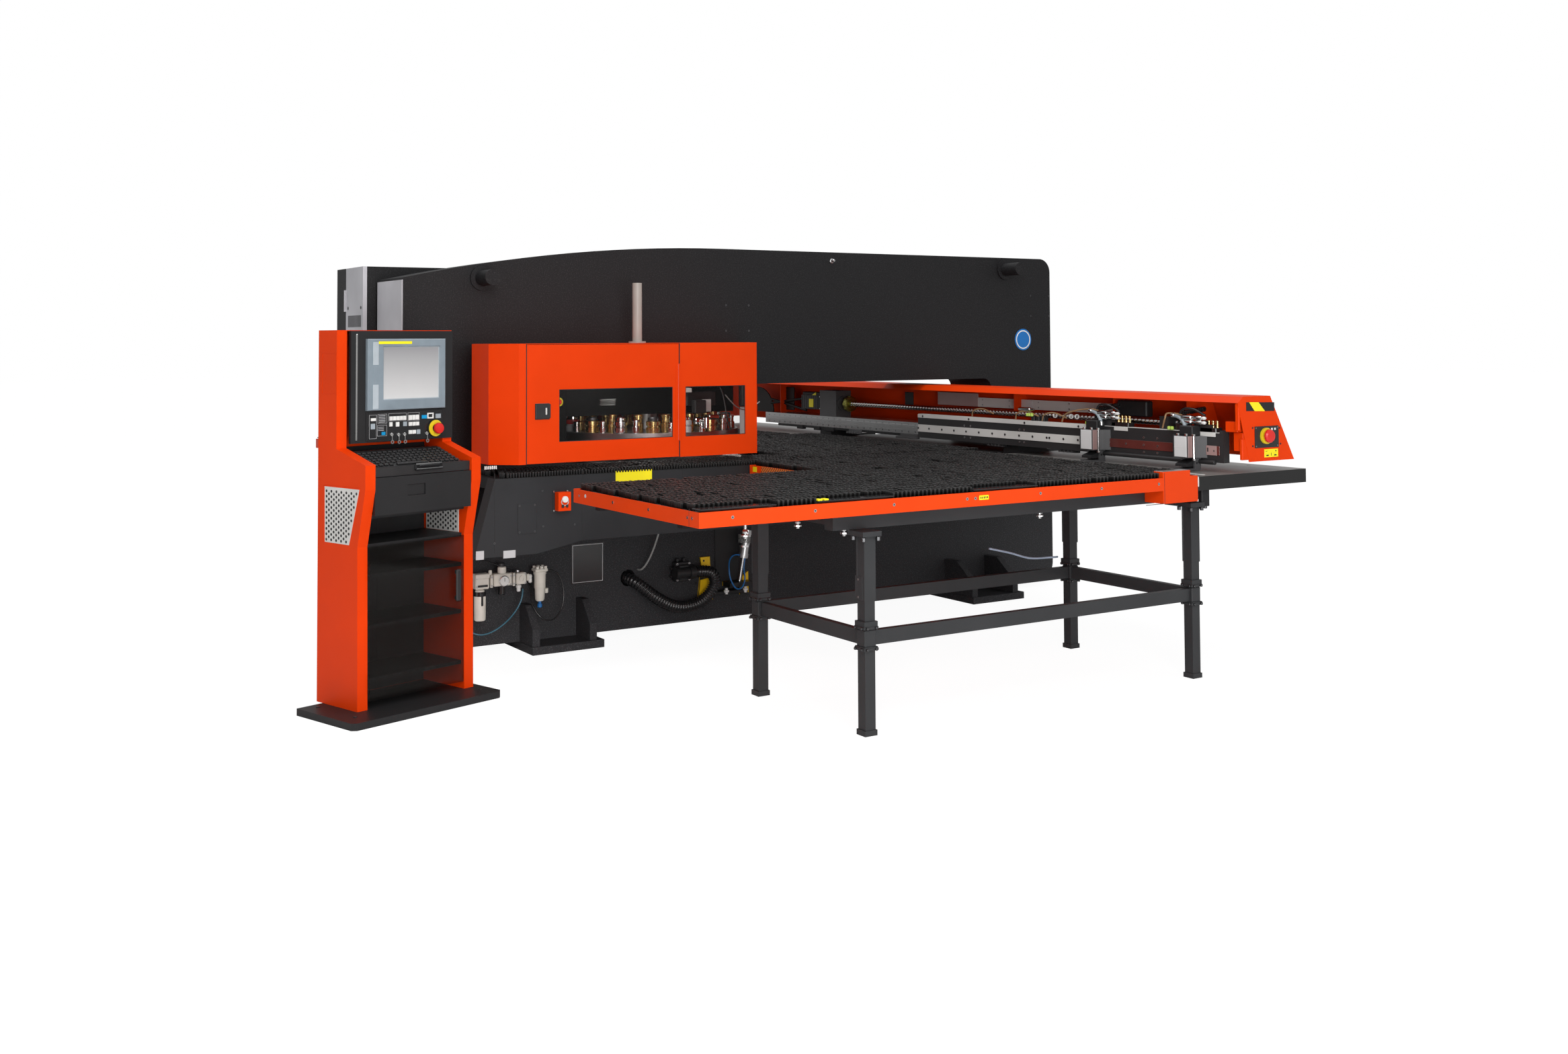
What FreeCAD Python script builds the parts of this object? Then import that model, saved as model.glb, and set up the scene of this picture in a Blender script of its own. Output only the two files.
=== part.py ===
import FreeCAD, Part
import math
import os
from types import SimpleNamespace

import Sketcher

# CNC turret punch press with its operator console, in millimetres.
# X = 0 is the punching plane (the middle of the bridge frame), +X towards the operator's side.
# Y = 0 is the middle of the front foot, +Y towards the sheet beam.  Z = 0 is the floor.

driving = {
    # bridge frame: one closed plate frame with a throat for the turrets and the sheet beam
    "frame_thick": 400, "frame_low_end": -810, "frame_high_end": 3465, "frame_underside": 40,
    "frame_top": 2090, "arch_from": 1000, "arch_drop": 192, "frame_corner": 85, "frame_heel": 110,
    "throat_low_end": 60, "throat_high_end": 2965, "throat_floor": 760, "throat_roof": 1331,
    "throat_corner": 60, "end_cover_thick": 6, "end_cover_margin": 12,
    # feet
    "foot_low_end": -198, "foot_high_end": 198, "foot_reach": 385, "rear_foot_low_end": 2575,
    "rear_foot_high_end": 2970, "rear_foot_reach": 480, "gusset_thick": 40, "gusset_height": 195,
    "gusset_toe": 85, "gusset_inset": 5, "gusset_flat": 0.45, "gusset_back": 30,
    # lifting trunnions
    "boss_radius": 40, "boss_length": 150, "boss_collar": 12, "boss_low_y": -400, "boss_low_drop": 190,
    "boss_high_y": 3085, "boss_high_drop": 74,
    # electrical cabinet behind the frame's low end
    "cabinet_gap": 40, "cabinet_depth": 462, "cabinet_low_end": -878, "cabinet_high_end": -330,
    "cabinet_drop": 120, "cabinet_plinth": 80, "cabinet_door_thick": 22, "cabinet_seam": 160,
    "cabinet_wall": 20,
    # turret guard
    "guard_front": 860, "guard_bottom": 999, "guard_top": 1566, "guard_sheet": 3, "guard_low_corner": -472,
    "guard_chamfer_run": 111, "guard_chamfer_depth": 100, "guard_side_depth": 218,
    "guard_high_corner": 836, "guard_back_y": 1085, "guard_back_x": 380, "guard_tail_y": 1130,
    "guard_start_y": -440, "far_guard_low_y": -290, "door_low_edge": -431, "door_hinge_y": 380,
    "door_gap": 2, "door_return": 25, "barrel_radius": 4, "barrel_over": 115, "window_low_edge": -267,
    "window_high_edge": 345, "window_bottom": 1099, "window_top": 1348, "side_window_low_edge": 418,
    "side_window_high_edge": 766, "pane_thick": 4, "pane_lap": 18, "latch_y": -351, "latch_z": 1247,
    "latch_width": 72, "latch_height": 66, "latch_thick": 9, "post_x": 450, "post_y": 357,
    "post_radius": 25, "post_top": 1879,
    # turrets, punches and ram
    "turret_y": 640, "turret_rim": 65, "pitch_radius": 445, "station_count": 16, "station_radius": 34,
    "upper_disc_bottom": 1000, "upper_disc_top": 1090, "lower_disc_bottom": 880, "lower_disc_top": 944,
    "punch_top": 1130, "punch_head_top": 1175, "punch_head_radius": 25, "fit_gap": 0.3, "run_gap": 0.05,
    "shaft_radius": 60, "bearing_radius": 85, "bearing_length": 240, "bearing_flange": 14,
    "bearing_flange_radius": 110, "ram_radius": 40, "ram_bush_radius": 70, "ram_stroke": 37,
    "ram_length": 480, "bush_flange": 14, "punch_nose": 40, "die_bore": 26, "turret_hole_gap": 12,
    # fixed centre table and the skirt under it
    "table_top": 934, "centre_table_thick": 54, "centre_table_low_end": -560, "centre_half_width": 855,
    "pass_line": 950, "bristle_pitch": 90, "bristle_width": 36, "centre_rows": 12, "near_rows": 17,
    "far_rows": 14, "outer_rows": 29, "inner_rows": 15, "bracket_step": 500, "bracket_thick": 20,
    "bracket_drop": 60, "skirt_front": 860, "skirt_top": 940, "skirt_bottom": 580, "skirt_step": 625,
    "skirt_low_end": -690, "skirt_shoulder": -590, "skirt_return": 90, "skirt_step_from": -377,
    "skirt_step_to": -148, "skirt_high_end": 1130, "button_box_y": -257, "button_box_z": 820,
    "button_box_width": 64, "button_box_height": 88, "button_box_depth": 42, "button_radius": 15,
    "button_travel": 4,
    # air preparation on the frame's face
    "air_y": -330, "air_z": 392, "air_x": 290, "air_block": 56, "air_row": 290, "bowl_radius": 20,
    "bowl_length": 118, "knob_radius": 19, "knob_length": 42, "filter_y": -120, "filter_radius": 25,
    "filter_top": 432, "filter_bottom": 250, "tube_radius": 4, "run_unit": 100,
    # ribbed hose
    "hose_x": 275, "hose_radius": 33, "hose_rib": 4, "hose_wall": 3, "hose_rib_count": 40, "hose_hole": 44,
    "hose_hole_y": 426, "hose_hole_z": 310, "elbow_y": 756, "elbow_z": 322, "cable_radius": 5,
    "cylinder_x": 262, "cylinder_y": 1084, "cylinder_z": 240, "cylinder_tilt": -11, "cylinder_radius": 25,
    "cylinder_rod": 9, "cylinder_length": 285, "rod_length": 130, "cap_offset": 19, "lug_low_y": 850,
    "lug_high_y": 1119, "lug_thick": 12, "lug_width": 74, "lug_bottom": 158, "lug_top": 386,
    # moving side tables
    "table_edge": 2585, "table_low_end": -475, "table_high_end": 2177, "inner_part_low_end": 785,
    "inner_part_edge": 870, "inner_part_width": 608, "fascia_height": 67, "fascia_top": 948,
    "fascia_thick": 5, "deck_thick": 20, "corner_low_end": 1951, "corner_high_end": 2177,
    "corner_depth": 115, "corner_bottom": 822, "corner_lip": 968, "slab_high_end": 2940,
    "slab_bottom": 869, "slab_inner_edge": 1000, "shoe_width": 40, "rib_step": 420, "rib_count": 6,
    "bristle_lap": 8,
    # leg stands
    "stand_inset": 35, "stand_width": 860, "stand_low_end": 300, "stand_high_end": 2216, "leg_width": 50,
    "leg_cap": 60, "leg_cap_height": 22, "brace_top": 414, "brace_height": 58, "brace_thick": 30,
    "collar_height": 30, "collar_width": 66, "upper_tube_low": 536, "upper_tube": 56, "flange_bottom": 792,
    "flange_thick": 20, "flange_width": 92, "rail_height": 54, "rail_width": 60, "rail_overhang": 120,
    # carriage base, beam and its cover
    "rail_gauge": 260, "truck_length": 90, "beam_wall": 12, "guide_inset": 18, "guide_depth": 8,
    "rib_front": 2575, "bearing_width": 24, "way_width": 50, "way_height": 30, "truck_height": 36,
    "base_low_end": 2480, "base_high_end": 2800, "base_height": 70, "upright_inner": 872,
    "upright_outer": 1000, "beam_bottom": 992, "beam_top": 1064, "beam_half_length": 1700,
    "beam_low_face": 2480, "beam_depth": 160, "slide_travel": 1170, "hood_half_length": 2620,
    "hood_top": 1300, "hood_lip": 1270, "hood_lip_y": 2412, "hood_low_edge": 2450, "hood_high_edge": 2640,
    "hood_foot_y": 2806, "hood_foot_z": 990, "hood_sheet": 4, "hood_foot_low": 2487, "stop_y": 2600,
    "stop_z": 1110, "stop_collar_radius": 38, "stop_cap_radius": 31, "stop_stem": 12,
    # ball screw drive
    "screw_y": 2530, "screw_z": 1152, "screw_radius": 17, "screw_start": -690, "screw_end": 2260,
    "bearing_block_from": -990, "bearing_block_to": -797, "motor_from": -1238, "motor_half": 46,
    "block_half": 60, "block_rise": 85, "coupling_radius": 50, "coupling_length": 45, "nut_length": 60,
    # carriage with its clamps
    "bar_low_face": 2425, "bar_depth": 40, "bar_bottom": 980, "bar_top": 1121, "bar_from": 150,
    "bar_inset": 85, "clamp_near_inset": 247, "clamp_far_inset": 891, "clamp_width": 88, "clamp_flare": 40,
    "truck_pad": 140, "valve_length": 112, "end_plate": 24, "clamp_throat": 92, "clamp_top": 1104,
    "jaw_thick": 10, "jaw_gap": 10, "cheek_thick": 9, "pivot_rise": 16, "pivot_radius": 6,
    "nut_inset": 420, "nut_lap": 26, "valve_rise": 38,
    # console, in its own frame: u to the right seen from the front, v to the front
    "console_x": 1050, "console_y": -1087, "console_turn": 17.3, "plinth_left": -380, "plinth_right": 388,
    "plinth_back": -217, "plinth_front": 200, "plinth_height": 30, "plinth_bevel": 18, "side_left": -255,
    "side_right": 350, "column_width": 50, "console_back": -262, "console_top": 1630, "head_front": -124,
    "head_bottom": 1122, "arm_front": 90, "arm_top": 1060, "arm_bottom": 957, "waist_front": 34,
    "waist_height": 714, "console_sheet": 3, "bezel_left": -194, "bezel_thick": 14, "screen_left": -118,
    "screen_right": 292, "screen_bottom": 1281, "screen_top": 1590, "screen_glass_left": -40,
    "screen_glass_right": 264, "screen_glass_bottom": 1322, "screen_glass_top": 1559,
    "key_panel_bottom": 1148, "console_stop_u": 243, "console_stop_z": 1188, "drawer_bottom": 845,
    "drawer_top": 1018, "drawer_depth": 300, "drawer_front": 86, "pull_left": -39, "pull_right": 53,
    "keyboard_thick": 40, "keyboard_slide": 200, "drawer_slide": 260, "shelf_thick": 16, "shelf_top": 721,
    "shelf_upper": 590, "shelf_middle": 379, "shelf_lower": 154, "glass_door_thick": 6,
    "glass_door_bottom": 62, "handle_length": 141, "handle_bottom": 425,
}

doc = FreeCAD.newDocument("turret_punch_press")
sheet = doc.addObject("Spreadsheet::Sheet", "dims")


class Size:
    # a number with the cell formula that gives it, so that sketches and code stay in step
    def __init__(self, value, text):
        self.value = float(value)
        self.text = text

    def __add__(self, other):
        return Size(self.value + number(other), "(%s + %s)" % (self.text, formula(other)))

    def __radd__(self, other):
        return self + other

    def __sub__(self, other):
        return Size(self.value - number(other), "(%s - %s)" % (self.text, formula(other)))

    def __rsub__(self, other):
        return Size(number(other) - self.value, "(%s - %s)" % (formula(other), self.text))

    def __mul__(self, other):
        return Size(self.value * number(other), "(%s * %s)" % (self.text, formula(other)))

    def __rmul__(self, other):
        return self * other

    def __truediv__(self, other):
        return Size(self.value / number(other), "(%s / %s)" % (self.text, formula(other)))

    def __neg__(self):
        return Size(-self.value, "(0 - %s)" % self.text)


def number(size):
    return size.value if isinstance(size, Size) else float(size)


def formula(size):
    return size.text if isinstance(size, Size) else "%.6g" % float(size)


for row, (name, value) in enumerate(driving.items(), start=1):
    sheet.set("A%d" % row, name)
    sheet.set("B%d" % row, str(value))
    sheet.setAlias("B%d" % row, name)
doc.recompute()
s = SimpleNamespace(**{name: Size(sheet.get(name), "dims." + name) for name in driving})


def bind(item, field, size):
    if isinstance(size, Size):
        item.setExpression(field, size.text)


class Ring:
    def __init__(self, a, b, radius):
        self.a, self.b, self.radius = a, b, radius


def rect(a0, a1, b0, b1):
    return [(a0, b0), (a1, b0), (a1, b1), (a0, b1)]


pieces = []


class Piece:
    # one sub-part: a body whose sketches lie on its own origin planes
    # planes: XY (normal +Z), XZ (normal -Y), YZ (normal +X); lo and hi are true coordinates along the normal axis
    def __init__(self, label):
        self.body = doc.addObject("PartDesign::Body", label)
        self.body.Label = label
        self.body.AllowCompound = True
        self.count = 0
        pieces.append(self.body)

    def sketch(self, plane, offset, loops):
        self.count += 1
        sketch = self.body.newObject("Sketcher::SketchObject", "%s_sketch_%d" % (self.body.Label, self.count))
        origin = [o for o in self.body.Origin.OriginFeatures if getattr(o, "Role", "") == plane + "_Plane"][0]
        sketch.AttachmentSupport = [(origin, "")]
        sketch.MapMode = "FlatFace"
        sketch.AttachmentOffset = FreeCAD.Placement(FreeCAD.Vector(0, 0, number(offset)), FreeCAD.Rotation())
        bind(sketch, "AttachmentOffset.Base.z", offset)
        for loop in loops:
            if isinstance(loop, Ring):
                self.circle(sketch, loop)
            else:
                self.polygon(sketch, loop)
        return sketch

    def locate(self, sketch, geo, pos, a, b):
        for axis, size, line in (("DistanceX", a, -2), ("DistanceY", b, -1)):
            if not isinstance(size, Size) and float(size) == 0:
                sketch.addConstraint(Sketcher.Constraint("PointOnObject", geo, pos, line))
            else:
                index = sketch.addConstraint(Sketcher.Constraint(axis, -1, 1, geo, pos, number(size)))
                bind(sketch, "Constraints[%d]" % index, size)

    def circle(self, sketch, ring):
        centre = FreeCAD.Vector(number(ring.a), number(ring.b), 0)
        geo = sketch.addGeometry(Part.Circle(centre, FreeCAD.Vector(0, 0, 1), number(ring.radius)), False)
        self.locate(sketch, geo, 3, ring.a, ring.b)
        index = sketch.addConstraint(Sketcher.Constraint("Radius", geo, number(ring.radius)))
        bind(sketch, "Constraints[%d]" % index, ring.radius)

    def polygon(self, sketch, loop):
        # a corner is (a, b), or (a, b, radius) where the edge that starts there is an arc about a centre on its left
        spots = [FreeCAD.Vector(number(p[0]), number(p[1]), 0) for p in loop]
        first = sketch.GeometryCount
        for i, p in enumerate(loop):
            here, there = spots[i], spots[(i + 1) % len(spots)]
            if len(p) == 3:
                run, radius = there - here, number(p[2])
                left = FreeCAD.Vector(-run.y, run.x, 0).normalize()
                centre = (here + there) * 0.5 + left * math.sqrt(radius ** 2 - (run.Length / 2) ** 2)
                angles = [math.atan2(v.y - centre.y, v.x - centre.x) for v in (here, there)]
                circle = Part.Circle(centre, FreeCAD.Vector(0, 0, 1), radius)
                sketch.addGeometry(Part.ArcOfCircle(circle, angles[0], angles[1]), False)
            else:
                sketch.addGeometry(Part.LineSegment(here, there), False)
        for i, p in enumerate(loop):
            after = first + (i + 1) % len(loop)
            sketch.addConstraint(Sketcher.Constraint("Coincident", first + i, 2, after, 1))
            self.locate(sketch, first + i, 1, p[0], p[1])
            if len(p) == 3:
                index = sketch.addConstraint(Sketcher.Constraint("Radius", first + i, number(p[2])))
                bind(sketch, "Constraints[%d]" % index, p[2])

    def pad(self, plane, lo, hi, *loops):
        start = -hi if plane == "XZ" else lo
        sketch = self.sketch(plane, start, loops)
        pad = self.body.newObject("PartDesign::Pad", "%s_pad_%d" % (self.body.Label, self.count))
        pad.Profile = sketch
        pad.Length = number(hi - lo)
        bind(pad, "Length", hi - lo)
        self.body.Tip = pad
        return pad

    def pocket(self, plane, lo, hi, *loops):
        start = -lo if plane == "XZ" else hi
        sketch = self.sketch(plane, start, loops)
        doc.recompute()
        before = self.body.Shape.Volume
        pocket = self.body.newObject("PartDesign::Pocket", "%s_pocket_%d" % (self.body.Label, self.count))
        pocket.Profile = sketch
        pocket.Length = number(hi - lo)
        bind(pocket, "Length", hi - lo)
        self.body.Tip = pocket
        doc.recompute()
        if not self.body.Shape.Volume < before - 1e-3:
            raise ValueError("%s: pocket %d cuts nothing" % (self.body.Label, self.count))
        return pocket

    def around(self, feature, count):
        # repeats a feature about the body's own Z axis
        line = [o for o in self.body.Origin.OriginFeatures if getattr(o, "Role", "") == "Z_Axis"][0]
        pattern = self.body.newObject("PartDesign::PolarPattern", "%s_circle_%d" % (self.body.Label, self.count))
        pattern.Originals = [feature]
        pattern.Axis = (line, [""])
        pattern.Angle = 360
        pattern.Occurrences = int(number(count))
        bind(pattern, "Occurrences", count)
        self.body.Tip = pattern
        return pattern

    def along(self, feature, axis, step, count):
        # repeats a feature along a world axis of the body
        line = [o for o in self.body.Origin.OriginFeatures if getattr(o, "Role", "") == axis + "_Axis"][0]
        pattern = self.body.newObject("PartDesign::LinearPattern", "%s_row_%d" % (self.body.Label, self.count))
        pattern.Originals = [feature]
        pattern.Direction = (line, [""])
        pattern.Mode = "Spacing"
        pattern.Offset = number(step)
        bind(pattern, "Offset", step)
        pattern.Occurrences = int(number(count))
        bind(pattern, "Occurrences", count)
        self.body.Tip = pattern
        return pattern

    def round(self, radius, test):
        # fillets every edge along X whose two ends pass the test
        doc.recompute()
        tip = self.body.Tip
        names = ["Edge%d" % (i + 1) for i, e in enumerate(tip.Shape.Edges)
                 if len(e.Vertexes) == 2 and all(test(v.Point) for v in e.Vertexes)
                 and abs(e.Vertexes[0].X - e.Vertexes[1].X) > e.Length * 0.99]
        fillet = self.body.newObject("PartDesign::Fillet", "%s_fillet_%d" % (self.body.Label, self.count))
        fillet.Base = (tip, names)
        fillet.Radius = number(radius)
        bind(fillet, "Radius", radius)
        self.body.Tip = fillet

    def place(self, x=0, y=0, z=0, turn=0, axis=(0, 0, 1)):
        self.body.Placement = FreeCAD.Placement(
            FreeCAD.Vector(number(x), number(y), number(z)), FreeCAD.Rotation(FreeCAD.Vector(*axis), number(turn)))
        bind(self.body, "Placement.Base.x", x)
        bind(self.body, "Placement.Base.y", y)
        bind(self.body, "Placement.Base.z", z)
        bind(self.body, "Placement.Rotation.Angle", turn)


def mirror_x(loop):
    return [(-p[0],) + tuple(p[1:]) for p in loop]


# ---- bridge frame, its end cover, feet and lifting trunnions
frame_half = s.frame_thick / 2
arch_end_height = s.frame_top - s.arch_drop
arch_run = s.arch_from - s.frame_low_end
arch_radius = (arch_run * arch_run + s.arch_drop * s.arch_drop) / (s.arch_drop * 2)
ram_y = s.turret_y + s.pitch_radius
lower_bearing_bottom = s.throat_floor - s.bearing_length
ram_bush_depth = s.ram_length - 70

frame = Piece("bridge_frame")
frame.pad("YZ", -frame_half, frame_half, [
    (s.frame_low_end, s.frame_underside), (s.frame_high_end, s.frame_underside),
    (s.frame_high_end, s.frame_top), (s.arch_from, s.frame_top, arch_radius),
    (s.frame_low_end, arch_end_height)],
    rect(s.throat_low_end, s.throat_high_end, s.throat_floor, s.throat_roof))
frame.round(s.frame_corner, lambda p: abs(p.y - s.frame_high_end.value) < 1 and p.z > s.frame_top.value - 1)
frame.round(s.frame_heel, lambda p: abs(p.y - s.frame_high_end.value) < 1 and p.z < s.frame_underside.value + 1)
frame.round(s.throat_corner, lambda p: abs(p.z - s.throat_roof.value) < 1 and
            min(abs(p.y - s.throat_low_end.value), abs(p.y - s.throat_high_end.value)) < 1)
frame.pocket("XY", s.throat_roof, s.throat_roof + s.bearing_length, Ring(0, s.turret_y, s.bearing_radius))
frame.pocket("XY", lower_bearing_bottom, s.throat_floor, Ring(0, s.turret_y, s.bearing_radius))
frame.pocket("XY", s.throat_roof, s.throat_roof + ram_bush_depth, Ring(0, ram_y, s.ram_bush_radius))
frame.pocket("YZ", frame_half - s.bearing_radius, frame_half, Ring(s.hose_hole_y, s.hose_hole_z, s.hose_hole))

cover = Piece("frame_end_cover")
cover.pad("XZ", s.frame_low_end - s.end_cover_thick, s.frame_low_end, rect(
    -frame_half + s.end_cover_margin / 2, frame_half - s.end_cover_margin / 2,
    s.frame_underside + s.end_cover_margin, arch_end_height - s.end_cover_margin))


def foot(label, low_end, high_end, reach):
    piece = Piece(label)
    piece.pad("XY", Size(0, "0"), s.frame_underside, rect(-reach, reach, low_end, high_end))
    tip = reach - s.gusset_inset * 3
    bend = frame_half + (tip - frame_half) * s.gusset_flat
    web = [(frame_half, s.frame_underside), (tip, s.frame_underside), (tip, s.frame_underside + s.gusset_toe),
           (bend, s.frame_underside + s.gusset_height), (frame_half, s.frame_underside + s.gusset_height)]
    first_gusset = low_end + s.gusset_inset
    gussets = piece.pad("XZ", first_gusset, first_gusset + s.gusset_thick, web, mirror_x(web)[::-1])
    piece.along(gussets, "Y", high_end - low_end - s.gusset_inset * 2 - s.gusset_thick - s.gusset_back, 2)


foot("front_foot", s.foot_low_end, s.foot_high_end, s.foot_reach)
foot("rear_foot", s.rear_foot_low_end, s.rear_foot_high_end, s.rear_foot_reach)

bosses = Piece("lifting_bosses")
spots = ((s.boss_low_y, s.frame_top - s.boss_low_drop), (s.boss_high_y, s.frame_top - s.boss_high_drop))
# the far side has only the high one, because the cabinet stands where the low one would be
for direction, seats in ((1, spots), (-1, spots[1:])):
    for length, radius in ((s.boss_length, s.boss_radius), (s.boss_collar, s.boss_radius + s.boss_collar * 2)):
        near, far = frame_half * direction, (frame_half + length) * direction
        lo, hi = (near, far) if direction > 0 else (far, near)
        bosses.pad("YZ", lo, hi, *[Ring(y, z, radius) for y, z in seats])

# ---- electrical cabinet, open behind its hinged door
cabinet_near = -frame_half - s.cabinet_gap
cabinet_far = cabinet_near - s.cabinet_depth
seam_x = cabinet_far + s.cabinet_seam
cabinet_top = s.frame_top - s.cabinet_drop
cabinet = Piece("electrical_cabinet")
cabinet.pad("XY", Size(0, "0"), cabinet_top,
            rect(cabinet_far, cabinet_near, s.cabinet_low_end + s.cabinet_door_thick, s.cabinet_high_end))
cabinet.pad("XY", s.cabinet_plinth, cabinet_top,
            rect(cabinet_far, seam_x - s.door_gap, s.cabinet_low_end, s.cabinet_low_end + s.cabinet_door_thick))
cabinet.pocket("XZ", s.cabinet_low_end + s.cabinet_door_thick, s.cabinet_high_end - s.cabinet_wall,
               rect(seam_x + s.cabinet_wall, cabinet_near - s.cabinet_wall,
                    s.cabinet_plinth + s.cabinet_wall, cabinet_top - s.cabinet_wall))
cabinet.pad("XY", s.cabinet_plinth, s.frame_underside * 4,
            rect(cabinet_near, -frame_half, s.cabinet_high_end - s.cabinet_wall * 2, s.cabinet_high_end))
cabinet.pad("XY", cabinet_top - s.frame_underside * 4, cabinet_top - s.frame_underside * 3,
            rect(cabinet_near, -frame_half, s.cabinet_high_end - s.cabinet_wall * 2, s.cabinet_high_end))

cabinet_door = Piece("cabinet_door")
cabinet_door.pad("XZ", s.cabinet_low_end, s.cabinet_low_end + s.cabinet_door_thick - s.fit_gap,
                 rect(seam_x, cabinet_near, s.cabinet_plinth, cabinet_top))
pin_y = s.cabinet_low_end - s.barrel_radius * 1.5
for low in (s.cabinet_plinth + s.barrel_over, cabinet_top - s.barrel_over * 2):
    cabinet_door.pad("XY", low, low + s.barrel_over, Ring(seam_x, pin_y, s.barrel_radius))
    cabinet_door.pad("XY", low, low + s.barrel_over,
                     rect(seam_x, seam_x + s.barrel_radius * 3, pin_y, s.cabinet_low_end))

# ---- turret guard: sheet walls from the frame's face round the turret, open below
sheet_t = s.guard_sheet


def guard_walls(piece, outline, inward):
    # outline runs from the frame's face round to the frame's face; inward is its inner line
    piece.pad("XY", s.guard_bottom, s.guard_top, outline + inward[::-1])
    piece.pad("XY", s.guard_top - sheet_t, s.guard_top, outline)


side_x = s.guard_front - s.guard_chamfer_depth
tail_x = side_x - s.guard_side_depth
chamfer_y = s.guard_low_corner - s.guard_chamfer_run
back = [(s.guard_front, s.guard_high_corner), (s.guard_back_x, s.guard_back_y), (frame_half, s.guard_tail_y)]
back_in = [(s.guard_front - sheet_t, s.guard_high_corner - sheet_t * 0.61),
           (s.guard_back_x - sheet_t * 0.35, s.guard_back_y - sheet_t * 1.08),
           (frame_half, s.guard_tail_y - sheet_t * 1.03)]
guard = Piece("turret_cover")
guard_walls(guard, [(frame_half, s.guard_start_y), (tail_x, chamfer_y), (side_x, chamfer_y),
                    (s.guard_front, s.guard_low_corner)] + back,
            [(frame_half, s.guard_start_y + sheet_t * 1.084), (tail_x + sheet_t * 0.2, chamfer_y + sheet_t),
             (side_x - sheet_t * 0.445, chamfer_y + sheet_t),
             (s.guard_front - sheet_t, s.guard_low_corner + sheet_t * 0.384)] + back_in)
guard.pocket("YZ", s.guard_front - sheet_t * 2, s.guard_front,
             rect(s.door_low_edge - s.door_gap, s.door_hinge_y + s.door_gap, s.guard_bottom, s.guard_top - sheet_t),
             rect(s.side_window_low_edge, s.side_window_high_edge, s.window_bottom, s.window_top))

far_guard = Piece("far_cover")
guard_walls(far_guard, mirror_x([(frame_half, s.far_guard_low_y), (side_x, s.far_guard_low_y),
                                 (s.guard_front, s.far_guard_low_y + s.guard_chamfer_run)] + back),
            mirror_x([(frame_half, s.far_guard_low_y + sheet_t), (side_x - sheet_t * 0.445, s.far_guard_low_y + sheet_t),
                      (s.guard_front - sheet_t, s.far_guard_low_y + s.guard_chamfer_run + sheet_t * 0.384)] + back_in))

door = Piece("turret_door")
door_bottom, door_top = s.guard_bottom + s.door_gap, s.guard_top - sheet_t - s.door_gap
door.pad("YZ", s.guard_front - sheet_t, s.guard_front, rect(s.door_low_edge, s.door_hinge_y, door_bottom, door_top),
         rect(s.window_low_edge, s.window_high_edge, s.window_bottom, s.window_top))
door.pad("YZ", s.guard_front - s.door_return, s.guard_front - sheet_t,
         rect(s.door_low_edge, s.door_hinge_y, door_bottom, door_top),
         rect(s.door_low_edge + sheet_t, s.door_hinge_y - sheet_t, door_bottom + sheet_t, door_top - sheet_t))
hinge_x = s.guard_front + s.barrel_radius
door.pad("XY", s.window_bottom - s.pane_lap, s.window_top + s.barrel_over,
         Ring(hinge_x, s.door_hinge_y, s.barrel_radius))
door.pad("XY", s.window_bottom - s.pane_lap, s.window_top + s.barrel_over,
         rect(s.guard_front, s.guard_front + sheet_t / 2, s.door_hinge_y - s.pane_lap, s.door_hinge_y))


def pane(label, low_edge, high_edge):
    piece = Piece(label)
    piece.pad("YZ", s.guard_front - sheet_t - s.pane_thick, s.guard_front - sheet_t,
              rect(low_edge - s.pane_lap, high_edge + s.pane_lap, s.window_bottom - s.pane_lap,
                   s.window_top + s.pane_lap))


pane("door_window", s.window_low_edge, s.window_high_edge)
pane("side_window", s.side_window_low_edge, s.side_window_high_edge)

latch = Piece("door_latch")
latch.pad("YZ", s.guard_front + s.fit_gap, s.guard_front + s.latch_thick,
          rect(s.latch_y - s.latch_width / 2, s.latch_y + s.latch_width / 2,
               s.latch_z - s.latch_height / 2, s.latch_z + s.latch_height / 2))
latch.pocket("YZ", s.guard_front + s.latch_thick / 2, s.guard_front + s.latch_thick,
             rect(s.latch_y - s.latch_width / 4, s.latch_y + s.latch_width / 3,
                  s.latch_z - s.latch_height / 4, s.latch_z + s.latch_height / 4))

latch_side = s.latch_y - s.latch_width / 2
latch.pad("XY", s.latch_z - s.latch_height / 2, s.latch_z + s.latch_height / 2,
          Ring(s.guard_front + s.fit_gap + s.barrel_radius, latch_side, s.barrel_radius))

post = Piece("steel_post")
post.pad("XY", s.guard_top, s.post_top, Ring(s.post_x, s.post_y, s.post_radius))
post.pad("XY", s.guard_top, s.guard_top + sheet_t * 3, Ring(s.post_x, s.post_y, s.post_radius * 1.8))

# ---- ram, turrets and their bearings; the upper and lower discs stand about the body's own Z axis
ram_housing = Piece("ram_housing")
ram_housing.pad("XY", s.throat_roof - s.bush_flange, s.throat_roof + ram_bush_depth - s.bush_flange,
                Ring(0, ram_y, s.ram_bush_radius), Ring(0, ram_y, s.ram_radius + s.run_gap))
ram_housing.pad("XY", s.throat_roof - s.bush_flange, s.throat_roof,
                Ring(0, ram_y, s.ram_bush_radius + s.bush_flange), Ring(0, ram_y, s.ram_bush_radius))

ram_bottom = s.punch_head_top + s.ram_stroke + 1
ram = Piece("ram")
ram.pad("XY", ram_bottom, ram_bottom + s.ram_length, Ring(0, ram_y, s.ram_radius))


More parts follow.
